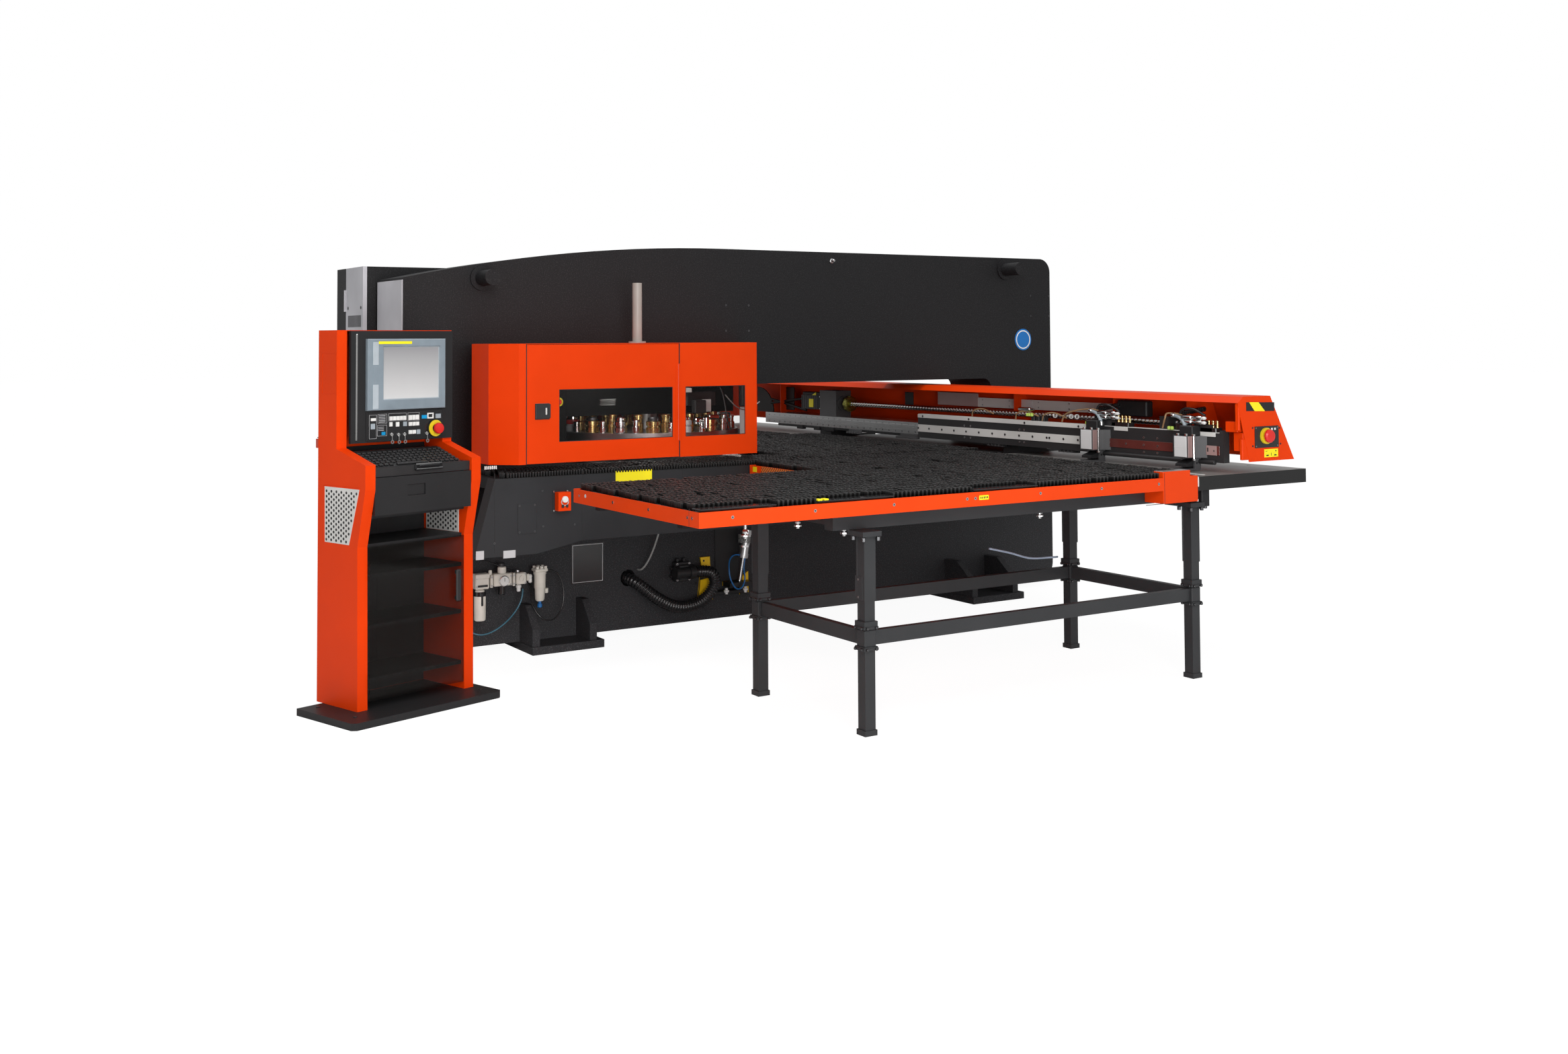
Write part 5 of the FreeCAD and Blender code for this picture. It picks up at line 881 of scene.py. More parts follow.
def addMotor():
    # a ribbed housing (rib k at k times the pitch) with its connector box, label and flange bolts
    ribs = [block((-1236 + motor["pitch"] * k, 2482, 1104), (-1224 + motor["pitch"] * k, 2578, 1200), 3)
        for k in range(1, motor["ribs"] + 1)]
    build("motorHousing", "y_slide_body", ("satinBlack",
            *boxes((-1239, 2483, 1105, -1000, 2577, 1199, 4), (-1238, 2492, 1196, -1010, 2560, 1221, 5))),
        ("castGrey", *ribs), ("castGrey", block((-1004, 2478, 1100), (-990, 2582, 1204), 3)),
        ("bright", repeated(aimed(rod(5, 6, 1, 6), "-y"), [(-997, 2480, 1112), (-997, 2480, 1192)])),
        ("labelYellow", block((-1140, 2480.6, 1118), (-1088, 2483, 1174), 0.3)),
        ("labelYellow", prism([(-1118, 1198), (-1068, 1198), (-1068, 1221)], 2489, 2492, "y")))


beam = {"face": 2481.35, "low": 965, "boltPitch": 68.0, "boltZ": (1004, 1046), "combs": (-650, 765, 1360),
    "hangers": ((-1280, -1204), (-1070, -997), (-940, -829))}


def addBeam():
    # two rows of small bolts at an even pitch on the beam, a dark strip, hangers, cable combs and a shelf
    # under it
    face, low, pitch = beam["face"], beam["low"], beam["boltPitch"]
    bolts = [(x, face, z) for x in np.arange(-1650, 140, pitch) for z in beam["boltZ"]]
    combs = []
    for x in beam["combs"]:
        combs += boxes((x, 2446, low, x + 140, 2476, low + 8, 2), (x, 2468, low + 1, x + 140, 2478, 991, 2))
        combs += [block((x + 12 + 30 * k, 2440, low), (x + 24 + 30 * k, 2464, low + 13), 2)
            for k in range(4)]
    build("beamFittings", "y_slide_body", *screws("-y", bolts, 5.0, 1.5, socket="blackPlastic"),
        ("satinBlack", block((-1533, 2478, 976), (2400, 2500, 991.5), 2)),
        ("satinBlack", *[block((x0, 2470, low), (x1, 2500, 990), 3) for x0, x1 in beam["hangers"]]),
        ("castGrey", *combs),
        ("castGrey", *boxes((-101, 2440, low, 104, 2474, 976, 2), (-90, 2468, 970, 92, 2478, 991, 2))))


def addBar():
    # bands, a silver top, rows of screws, the tail past the far clamp in a dark red that is a painted
    # reflection of the red paint, and a round rail under the bar
    face, x0, x1 = bar["face"], bar["from"], bar["to"]
    left = bar["clamps"][1] - 50
    band = [(x, face - 3, 1038) for x in bar["boltX"]] + [(x, face - 3, 1111) for x in bar["stripX"]]
    pairs = [(x, face, z) for x in bar["pairX"] for z in (1072, 1003)]
    pairs += [(x, face, z) for x in (2011, 2102) for z in (1076, 1003)]
    tail = [(x, face - 3, 1039) for x in (1770, 1890, 2011, 2106)]
    build("barBands", "x_carriage_body",
        ("silver", *[block((x0, face - 3, z0), (left, face + 1, z1), 0.8) for z0, z1 in bar["bands"]]),
        ("silver", block((x0, face + 1, 1120.5), (x1, face + 38, 1124), 1.0)),
        *screws("-y", band, socket="blackPlastic"),
        *screws("-y", pairs, 6.0, ring="machined", socket="blackPlastic"),
        ("redSteel", block((left, face - 3, 1016), (x1, face + 1, 1060), 0.8)),
        *screws("-y", tail, 6.0, ring="machined", socket="blackPlastic"),
        ("blackPlastic", aimed(rod(11, x1 - left - 60, 2, 14), "x", left + 40, face - 9, 981)))


def clampDress(x):
    # one clamp's front plate, side strips, edge rod, hexagonal bolts and the block above it; the pink strip
    # by the edge rod is steel with a painted reflection of the red paint
    y, edgeX = bar["plate"], x + 49
    return {"whitePlate": joined(*boxes((x - 38, y - 1, 1004, x + 40, y + 2, 1103, 1.5),
                (x - 38, y - 1.6, 1050, x + 40, y, 1052, 0.3))),
        "satinBlack": joined(*boxes((x - 53, y + 4, 1000, x - 39, y + 60, 1108, 2),
                (x - 44, 2372, 1104, x + 40, 2440, 1152, 4))),
        "pinkSteel": block((x + 43.5, 2336, 1002), (x + 46.5, 2366, 1104), 1),
        "bright": joined(moved(rod(5.5, 118, 1, 12), edgeX, 2372, 990),
            moved(rod(9, 10, 1, 6), edgeX, 2372, 1104), moved(rod(9, 9, 1, 6), edgeX, 2372, 986),
            repeated(rod(8, 12, 1, 6), [(x - 30, 2350, 1104), (x + 20, 2352, 1104)]))}


def addClamps():
    # both clamps' parts by finish, then the bar's end plate with its slot and hole; the end plate's pink is
    # a painted reflection of the red paint
    near, far = [clampDress(x) for x in bar["clamps"]]
    build("clampDress", "x_carriage_body", *[(finish, near[finish], far[finish]) for finish in near],
        ("pinkSteel", block((2419, 2421, 1014), (2484, 2426, 1060), 1.5)),
        ("blackPlastic", block((2426, 2420, 1030), (2433, 2422, 1050), 0.5),
            aimed(rod(4, 2, 0.4, 12), "-y", 2468, 2421, 1036)))


addScrew()
addMotor()
addBeam()
addBar()
addClamps()
print("stage: screw, motor, beam and carriage bar")

desk = {"place": (1050.0, -1087.0), "turn": 17.3, "face": -110.0, "lcd": (-118, 292, 1281, 1590),
    "glass": (-38, 262, 1325, 1557), "panel": (-110, 286, 1142, 1270),}


def atDesk(shape):
    # from the console's own frame (v to the front, u to its right, z up) to the machine's
    return moved(leaned(shape, "z", desk["turn"]), *desk["place"], 0)


def buildDesk(name, body, *parts, smooth=False, replaces=()):
    # build() for shapes in the console's own frame
    turnedParts = [(finish, *[atDesk(shape) for shape in shapes]) for finish, *shapes in parts]
    return build(name, body, *turnedParts, smooth=smooth, replaces=replaces)


def border(outer, inner, v0, v1, slope=3.0):
    # a picture frame: six rings of four corners, its front edges sloping in towards the opening
    (u0, u1, z0, z1), (a0, a1, b0, b1), s = outer, inner, slope
    rings = ((outer, v0), (outer, v1 - s), ((u0 + s, u1 - s, z0 + s, z1 - s), v1),
        ((a0 - s, a1 + s, b0 - s, b1 + s), v1), (inner, v1 - s), (inner, v0))
    points = []
    for (left, right, low, high), v in rings:
        points += [(v, left, low), (v, right, low), (v, right, high), (v, left, high)]
    return np.array(points, float), skin(len(rings), 4, True)


def rim(u0, u1, z0, z1, width, v0, v1, slope):
    # a border of one width all round
    return border((u0, u1, z0, z1), (u0 + width, u1 - width, z0 + width, z1 - width), v0, v1, slope)


def plates(boards, v0, v1, bevel=0.8):
    # flat boards (u0, u1, z0, z1) between two depths, as one shape
    return joined(*[block((v0, u0, z0), (v1, u1, z1), bevel) for u0, u1, z0, z1 in boards])


def keyGrid(u0, u1, z0, z1, count, gap=2.0):
    # one row of equal boards: board k starts at u0 + k (u1 - u0) / count, less a gap
    step = (u1 - u0) / count
    return [(u0 + k * step + gap / 2, u0 + (k + 1) * step - gap / 2, z0, z1) for k in range(count)]


def addScreen():
    # the sloped surround, its lighter bands and slot plate, the lit glass with its rim, a label and a trim
    # line
    face, (u0, u1, z0, z1), (g0, g1, h0, h1) = desk["face"], desk["lcd"], desk["glass"]
    buildDesk("screenSurround", "machine",
        ("lcdGrey", border((u0 - 2, u1 + 2, z0 - 2, z1 + 2), desk["glass"], face, -92)),
        ("lcdLight", plates([(-95, -66, 1478, 1578), (-95, -66, 1286, 1392)], -93, -90.5)),
        ("lcdGrey", plates([(-89, -68, 1394, 1470)], -93, -91)),
        ("screenGlow", block((-105, g0 - 3, h0 - 3), (-100, g1 + 3, h1 + 3), 0.5)),
        ("lcdLight", rim(g0 - 1, g1 + 1, h0 - 1, h1 + 1, 4, -101, -98, 1.0)),
        ("labelYellow", plates([(-66, 109, 1569, 1581)], -93, -91, 0.3)),
        ("bright", block((face - 1, -171, 1152), (face + 5, -163, 1613), 1.5)), replaces=["console_screen"])


switches = {"at": ((12, 1170), (48, 1168), (80, 1168), (200, 1166)), "stop": (243, 1188),
    "boxes": ((-60, -12, 1221, 1262), (-62, -12, 1166, 1214), (-4, 90, 1229, 1263), (97, 160, 1226, 1263),
        (-104, -66, 1156, 1260))}


def addKeyPanel():
    # a black plate with rows of keys, ruled boxes, key switches with their keys, and the stop button
    white = keyGrid(-2, 88, 1232, 1250, 5) + keyGrid(99, 156, 1230, 1252, 3)
    white += keyGrid(100, 157, 1204, 1221, 3) + keyGrid(100, 140, 1168, 1185, 2)
    white += [(-97, -72, 1234, 1246), (-1, 14, 1206, 1225), (33, 50, 1204, 1224)]
    grey = [(247, 275, 1232, 1252), (72, 91, 1204, 1224), (144, 163, 1166, 1186), (-97, -76, 1198, 1222)]
    lines = []
    for left, right, low, high in switches["boxes"]:
        lines += [(left, right, low, low + 1.2), (left, right, high - 1.2, high),
            (left, left + 1.2, low, high), (right - 1.2, right, low, high)]
    lines += [(-54, -20, 1226 + 7 * row, 1228.5 + 7 * row) for row in range(5)]
    lines += [(-58, -28, 1190 + 7 * row, 1192 + 7 * row) for row in range(3)] + [(204, 233, 1233, 1236)]
    at, (su, sz) = switches["at"], switches["stop"]
    keys = [block((-101, u - 1.5, z - 28), (-98, u + 1.5, z + 1), 1) for u, z in at]
    bows = [aimed(washer(4, 9, 2.5, 14), "x", -100.5, u, z - 32) for u, z in at]
    buildDesk("keyPanel", "machine", ("glossBlack", plates([desk["panel"]], -108, -105.5)),
        ("whitePlastic", plates(white, -106, -100)), ("greyPlastic", plates(grey, -106, -101)),
        ("keyBlue", plates([(-41, -23, 1170, 1184), (171, 197, 1233, 1249)], -106, -100)),
        ("labelSilver", plates(lines, -106, -105, 0.2)),
        ("whitePlastic", rim(202, 236, 1232, 1258, 6, -106, -102, 1.0)),
        ("yellowPlastic", aimed(washer(18, 37, 4), "x", -99, su, sz)),
        ("bright", *[aimed(rod(8, 5, 1, 18), "x", -106, u, z) for u, z in at]), ("bright", *keys, *bows))
    cap = turned([(12, 0), (14, 6), (21, 10), (25, 15), (25, 22), (22, 27), (14, 28)], 32)
    buildDesk("consoleStopCap", "console_stop_body", ("redPlastic", aimed(cap, "x", -92.4, su, sz)),
        ("board", aimed(rod(11.5, 14, 0.5, 24), "x", -106, su, sz)), smooth=True,
        replaces=["console_stop_button"])


def addKeyboard():
    # key caps in rows on the sloping bed, on the keyboard drawer
    slope = math.degrees(math.atan2(1104 - 1046, 48 + 124))
    caps, wide = [], []
    for row in range(6):
        along = 14 + 27 * row
        v, z = 48 - along * math.cos(math.radians(slope)), 1046 + along * math.sin(math.radians(slope))
        for col in range(17):
            if row == 0 and 4 <= col <= 10:
                continue
            caps.append(
                moved(leaned(block((-9, -10, 0), (9, 10, 8), 3), "y", slope), v, -168 + 26.5 * col, z))
        if row == 0:
            wide.append(moved(leaned(block((-9, -80, 0), (9, 80, 8), 3), "y", slope), v, 20, z))
    pull = boxes((74, 2, 1022, 92, 146, 1032, 4), (74, 2, 1026, 86, 146, 1052, 4),
        (86, 20, 1036, 90, 128, 1046, 2))
    buildDesk("keyCaps", "keyboard_body", ("blackPlastic", *caps, *wide), ("glossBlack", *pull))


def perforated(corners, across=18.5, up=23.0, inset=12, most=60):
    # a staggered grid within four corners, top two first: odd columns are half a pitch higher
    (a0, b0), (a1, _), (a2, b2), (a3, b3) = corners
    spots = []
    for i in range(most):
        for j in range(most):
            a, b = a3 + inset + i * across, min(b2, b3) + inset + j * up + (i % 2) * up / 2
            share = (b - b3) / (b0 - b3)
            low, high = a3 + (a0 - a3) * share, a2 + (a1 - a2) * share
            if low + 10 < a < high - 10 and b < b0 - 10:
                spots.append((a, b))
    return spots


panels = {"hole": 6.3, "left": ((-209, 958), (48, 958), (-26, 720), (-206, 720)),
    "inner": ((-236, 842), (0, 842), (0, 722), (-236, 722)), "ruled": (-235, 1355, -128, 1530),
    "wall": -256}


def addPanels():
    # perforated plates in the left side and inside the right side, and the dark back wall behind the
    # shelves
    hole, wall = aimed(rod(panels["hole"], 0.5, 0.1, 12), "-y"), panels["wall"]
    holes = repeated(hole, [(v, -256.1, z) for v, z in perforated(panels["left"])])
    innerHoles = repeated(hole, [(v, 297.7, z) for v, z in perforated(panels["inner"])])
    seams = [block((wall - 0.5, 44, 40), (-254.8, 48, 1110), 0.5)]
    seams += [block((wall - 0.5, u, 66), (-254, u + 60, 76), 0.5) for u in (-150, -30, 120, 220)]
    v0, z0, v1, z1 = panels["ruled"]
    sides = ((v0, z1 - 2, v1, z1), (v0, z0, v1, z0 + 2), (v0, z0, v0 + 2, z1), (v1 - 2, z0, v1, z1))
    ruled = [block((a, -255.8, b), (c, -254.8, d), 0.2) for a, b, c, d in sides]
    buildDesk("consolePanels", "machine", ("silver", prism(panels["left"], -256.2, -254.8, "y")),
        ("board", holes), ("redPaint",
            *boxes((-216, -257.5, 716, -209, -254.5, 962, 0.6), (-216, -257.5, 958, 50, -254.5, 963, 0.6))),
        ("silver", block((-240, 297.5, 722), (0, 299.6, 842), 0.6)), ("board", innerHoles),
        ("satinBlack", *boxes((-258.6, -204, 32, -256, 299, 1118, 1), (-259, -204, 26, -214, 299, 31, 1),
                (79.2, -38, 920, 80.4, 52, 965, 0.3))), ("greyBlack", *seams), ("redPaint", *ruled),
        ("blackPlastic",
            *[moved(rod(9, 3, 1, 14), v, u, 30) for v, u in ((99, -305), (110, 336), (-168, -308))]))


def addHandle():
    # the smoked door's grip on two feet
    grip = block((52, 240, 427), (65, 266, 567), 5)
    feet = [block((38, 246, z), (54, 260, z + 16), 2) for z in (432, 546)]
    buildDesk("doorHandle", "console_door_body", ("blackPlastic", grip, *feet))


addScreen()
addHandle()
addKeyPanel()
addKeyboard()
addPanels()
print("stage: console")

# each kind of pin: its circle, radius, height, rise per step and look
tools = {"centre": (0.0, 640.0), "pitch": 445.0, "stations": 16, "rest": 1090.0, "red": 12,
    "looks": ["whitePlate", "goldCoat", "bright", "goldCoat"], "rim": (496, 509, 4), "markRadius": 500,
    "pins": ((472, 20, 58, 8, "bright"), (372, 27, 96, 0, "goldCoat"))}


def holder():
    # one punch holder as three turned parts along Z: the body, its ring and its striking head
    profiles = ([(33, 0), (37, 3), (37, 30), (31, 33), (31, 40)], [(31, 40), (38, 42), (38, 62), (32, 65)],
        [(24, 65), (29, 67), (29, 80), (25, 85)])
    return [turned(profile, 20) for profile in profiles]


def addTools():
    # holder k stands at the angle 2 pi k / count on the pitch circle; smaller pins stand halfway between
    # the stations, on the rim and on an inner circle; a rim ring carries one mark for each station
    (cx, cy), count, groups, between = tools["centre"], tools["stations"], {}, []

    def onCircle(shape, radius, k):
        a = 2 * math.pi * k / count
        return moved(shape, cx + radius * math.cos(a), cy + radius * math.sin(a), tools["rest"])
    for k in range(count):
        body, ring, head = [onCircle(shape, tools["pitch"], k) for shape in holder()]
        look = tools["looks"][k % len(tools["looks"])]
        band = "redPlastic" if k == tools["red"] else look
        groups.setdefault(look, []).append(body)
        groups.setdefault(band, []).append(ring)
        groups.setdefault("darkSteel" if k % 2 else "bright", []).append(head)
    build("punchTools", "upper_turret_body", *[(key, *shapes) for key, shapes in groups.items()],
        smooth=True, replaces=["punch_holders"])
    for k in range(count):
        for circle, r, height, rise, look in tools["pins"]:
            top = height + rise * (k % 3)
            pin = turned([(r - 3, 0), (r, 3), (r, top * 0.5), (r - 5, top * 0.5 + 3), (r - 5, top - 12),
                    (r - 2, top - 10), (r - 2, top - 3), (r - 5, top)], 16)
            between.append((look, onCircle(pin, circle, k + 0.5)))
    build("turretPins", "upper_turret_body", *between, smooth=True)
    mark = moved(block((-4, -12, 0), (4, 12, 5), 1), x=tools["markRadius"])
    marks = [moved(leaned(mark, "z", 360 / count * k), cx, cy, tools["rest"] - 2) for k in range(count)]
    build("turretRim", "upper_turret_body",
        ("machined", moved(washer(*tools["rim"], 96), cx, cy, tools["rest"] - 0.5)), ("darkSteel", *marks))


inside = {"post": (470, 1000), "stop": (-262, 1288), "coils": 14}


def addInside():
    # a near-black sheet behind the tools, painted shade inside the cover; the striker's cylinder, clamps,
    # plates and tubes behind the windows; each tube is a path in t from 0 to 1: a sagging line, a dropping
    # wave and a row of small three-turn coils
    (px, py), (sy, sz), t = inside["post"], inside["stop"], np.linspace(0, 1, 14)
    loop = np.stack([600 + 20 * t, 800 + 200 * t, 1290 - 60 * np.sin(np.pi * t) - 40 * t], 1)
    drop = np.stack([560 + 0 * t, 790 + 70 * t, 1330 - 230 * t + 20 * np.sin(2 * np.pi * t)], 1)
    coils = [
        pipe(np.stack([500 + 14 * np.cos(6 * np.pi * t), 120 + 6 * k + 4 * t, 1250 + 30 * t], 1), 1.2, 5)
        for k in range(inside["coils"])]
    build("insideFittings", "machine",
        ("lining", *boxes((204, -430, 1182, 210, 1080, 1556, 1), (212, -286, 1004, 218, 60, 1556, 1))),
        ("whitePlate", moved(turned([(26, 0), (30, 4), (30, 150), (24, 156)], 24), px, py, 1060)),
        ("blackPlastic", moved(rod(34, 120, 3, 24), px, py, 1222),
            *boxes((300, 700, 1225, 360, 880, 1300, 5), (430, 690, 1190, 470, 760, 1260, 4))),
        ("whitePaint", *boxes((432, 752, 1196, 440, 806, 1262, 2), (340, 640, 1300, 420, 700, 1324, 3))),
        ("bright", aimed(rod(20, 70, 3, 18), "y", 462, 690, 1150),
            aimed(rod(14, 60, 3, 18), "y", 470, 770, 1168), moved(rod(16, 60, 3, 18), 500, 740, 1110)),
        ("greyCable", pipe(loop, 3, 8), *coils), ("rubber", pipe(drop, 4, 8)), smooth=True)
    build("insideStop", "turret_door_body", ("yellowPlastic", aimed(washer(12, 22, 4), "x", 840, sy, sz)),
        ("redPlastic", aimed(rod(13, 16, 3, 20), "x", 838, sy, sz)), smooth=True)


cover = {"face": 860.8, "seamY": (-436, 381), "seamZ": (1000, 1565), "paneZ": (1099, 1348),
    "panes": ((-267, 345), (418, 766))}


def addCover():
    # seams on both faces, the hinge's barrel in a bright pink that is a painted highlight, the latch's
    # plate, frame, paddle and grip, a seal round each window
    x, (z0, z1), (y0, y1) = cover["face"], cover["seamZ"], cover["seamY"]
    seams = boxes((856, y0, z0, x, y0 + 4.5, z1, 0.4), (857, y1, z0, x, y1 + 5, z1, 0.4))
    seams += [block((-x, y, z0), (-856, y + 4.5, z1), 0.4) for y in cover["seamY"]]
    build("coverSeams", "machine", ("board", *seams),
        ("hingePink", moved(rod(4.2, 381, 0.8, 12), 862.5, 380, 1082)))
    p0, p1 = cover["paneZ"]
    seals = [rim(y0 - 1, y1 + 1, p0 - 1, p1 + 1, 4, 857, 859.6, 0.5) for y0, y1 in cover["panes"]]
    build("latchDress", "latch_body", ("darkSteel", rim(-386, -320, 1213, 1279, 8, 862, 866, 1.0)),
        ("blackPlastic", block((862, -374, 1225), (865.5, -340, 1267), 1.5)),
        ("silver", block((862, -339, 1225), (867, -331, 1267), 1)))
    build("doorDress", "turret_door_body",
        ("blackPlastic", block((859.5, -391, 1208), (862.5, -316, 1284), 1.5)), ("board", seals[0]))
    build("sideDress", "machine", ("board", seals[1]))


skirt = {"face": 860.0, "comb": (-532, -150), "label": (30, 228, 883, 946), "door": (-478, -383, 677, 818),
    "screws": ((-592, 644), (-353, 873), (-349, 706), (-187, 704), (-192, 870)),
    "plates": ((-682, -643, 574, 614), (-548, -488, 571, 606))}


def addSkirt():
    # label, access door, seams, screws, the button box's rim and switches, brush combs along the top edge
    x, first = skirt["face"], skirt["comb"][0]
    y0, y1, z0, z1 = skirt["label"]
    a0, a1, b0, b1 = skirt["door"]
    seams = [block((x - 1, y, z), (x + 0.6, y + 2.5, 939), 0.3) for y, z in ((-148, 625), (398, 700))]
    seams += [block((x - 1, -592, 600), (x + 0.6, -589.5, 968), 0.3)]
    places = [(x, *place) for place in skirt["screws"]]
    places += [(x + 2.5, y, z) for y in (a0 + 9, a1 - 9) for z in (b0 + 9, b1 - 9)]
    small = [block((x - 1, u0, v0), (x + 1, u1, v1), 0.3) for u0, u1, v0, v1 in skirt["plates"]]
    comb = [block((x - 6, y, 940), (x + 6, y + 9, 963), 2) for y in np.arange(*skirt["comb"], 14.0)]
    comb += [block((x - 20, y + 6, 940), (x - 8, y + 14, 960), 2) for y in np.arange(first, 1130, 18.0)]
    comb += [block((x - 6, y, 939), (x + 4, y + 9, 957), 2) for y in np.arange(-146, 1126, 15.0)]
    pale = [block((x - 30, -631 + 9 * k, 984), (x - 22, -626 + 9 * k, 1000), 1.5) for k in range(7)]
    build("skirtDress", "machine", ("labelYellow", block((x - 1, y0, z0), (x + 1.2, y1, z1), 0.4)),
        ("greyBlack", block((x - 1, a0, b0), (x + 2.5, a1, b1), 1.2)), ("board", *seams),
        *screws("x", places, 5, 1.5), ("greyBlack", rim(-300, -222, 772, 870, 8, x - 1, x + 3, 1.0)),
        *screws("x", [(x + 3, y, z) for y in (-296, -226) for z in (776, 866)], 3.5, 1.2, "bright"),
        ("blackPlastic", *[block((x + 42, y, 792), (x + 48, y + 12, 806), 1.5) for y in (-274, -252)]),
        ("labelSilver", *small), ("combNylon", *comb), ("whitePlastic", *pale),
        ("bright", aimed(washer(15.5, 20, 4), "x", x + 41, -257, 820)))


frameDress = {"face": 200.0, "screws": [(1040, 1774), (1189, 1774), (1040, 1631), (1189, 1631)],
    "stud": (1758, 2040), "disc": (3232, 1573, 68), "plate": (96, 283, 304, 513)}


def addFrameDress():
    # screws, the round blue disc with its white ring, the rating plate's blank with its rim, and a turned
    # stud
    x, reach = frameDress["face"], (3299, 3452)
    places = frameDress["screws"] + [(y, z) for y in reach for z in (1724, 1853)]
    y, z, r = frameDress["disc"]
    y0, y1, z0, z1 = frameDress["plate"]
    stud = turned([(14, 0), (14, 6), (9, 8), (9, 26), (6, 30)], 18)
    build("frameDress", "machine", *screws("x", [(x, *place) for place in places], 6, 1.5),
        ("labelBlue", aimed(rod(r, 2, 0.4, 48), "x", x, y, z)),
        ("whitePlastic", aimed(washer(r - 16, r - 9, 1.0, 48), "x", x + 1.8, y, z)),
        ("glossBlack", block((x - 1, y0, z0), (x + 2, y1, z1), 0.6)),
        ("labelSilver", rim(y0 + 6, y1 - 6, z0 + 6, z1 - 6, 3, x + 1.5, x + 3, 0.5)),
        ("machined", aimed(stud, "x", x, *frameDress["stud"])))


cabinet = {"face": -878, "slots": 18, "slotPitch": 13, "slotZ": (1656, 1718), "screwX": (-498, -272),
    "screwZ": (1757, 900)}


def addCabinet():
    # the narrow end's seam, screws and grille: slot k starts at its first place plus k times the pitch
    y, pitch, (z0, z1) = cabinet["face"], cabinet["slotPitch"], cabinet["slotZ"]
    slots = [block((-498 + pitch * k, y - 1, z0), (-491 + pitch * k, y + 1, z1), 1)
        for k in range(cabinet["slots"])]
    build("cabinetDress", "cabinet_door_body", ("greyBlack", *slots))
    build("cabinetTrim", "machine", ("board", block((-541.5, y - 0.8, 90), (-538.5, y + 1, 1965), 0.3)),
        *screws("-y", [(x, y, z) for z in cabinet["screwZ"] for x in cabinet["screwX"]], 9, 1.5))


addTools()
addInside()
addCover()
addSkirt()
addFrameDress()
addCabinet()
print("stage: turret tools, cover, skirt, frame and cabinet")

hood = {"end": 2624.0, "button": (2600.0, 1110.0), "plate": (2526, 2694, 1054, 1156), "back": 2632.0,
    "marks": ((2602, 2612, 1035, 1037), (2668, 2678, 1035, 1037), (2672, 2674, 1031, 1041),
        (2606, 2622, 1013, 1019), (2662, 2678, 1013, 1019), (2639, 2642, 1014, 1028))}


def addHoodEnd():
    # the end plate's stop button plate with its screws and marks, the striped sticker and the arrow label
    x, (by, bz) = hood["end"], hood["button"]
    y0, y1, z0, z1 = hood["plate"]
    outer = [(x, y0 - 14, z0 + 10), (x, y0 - 14, z1 - 6), (x, y1 + 14, z0 + 14), (x, y1 + 9, z1 - 12)]
    inner = [(x + 2.5, y, z) for y in (y0 + 8, y1 - 9) for z in (z0 + 8, z1 - 8)]
    marks = [block((x + 0.8, a0, b0), (x + 1.3, a1, b1), 0.1) for a0, a1, b0, b1 in hood["marks"]]
    notes = [block((x + 2.4, 2640 + 22 * k, 1136), (x + 2.9, 2652 + 22 * k, 1146), 0.1) for k in (0, 1)]
    build("hoodEndDress", "y_slide_body",
        ("blackPlastic", prism([(y0, z0), (y1, z0), (y1, z1), (y0, z1)], x - 0.5, x + 2.5, "x")),
        # the outer screw heads' dark red is a painted reflection of the red paint
        *screws("x", outer, 5, 2, "redSteel"), *screws("x", inner, 3.4, 1.2, "machined"),
        ("yellowPlastic", aimed(washer(13.2, 38.6, 11.4, 40), "x", x + 1.2, by, bz)),
        ("board", prism([(2470, 1231), (2668, 1226), (2668, 1268), (2470, 1273)], x - 0.5, x + 0.8, "x")),
        ("labelYellow",
            prism([(2528, 1229.5), (2600, 1227.6), (2556, 1271), (2490, 1272.6)], x + 0.6, x + 1.4, "x")),
        ("labelYellow", block((x - 0.5, 2592, 1007), (x + 0.9, 2690, 1046), 0.4)), ("board", *marks),
        ("whitePlastic", *notes), smooth=True)
    cap = turned([(24, 0), (31.6, 5), (31.6, 14), (26, 21), (12, 23.5)], 32)
    build("hoodStopCap", "beam_stop_body", ("redPlastic", aimed(cap, "x", x + 17.2, by, bz)),
        ("board", aimed(rod(11.5, 11, 0.5, 24), "x", x + 7, by, bz)), smooth=True,
        replaces=["beam_stop_button"])


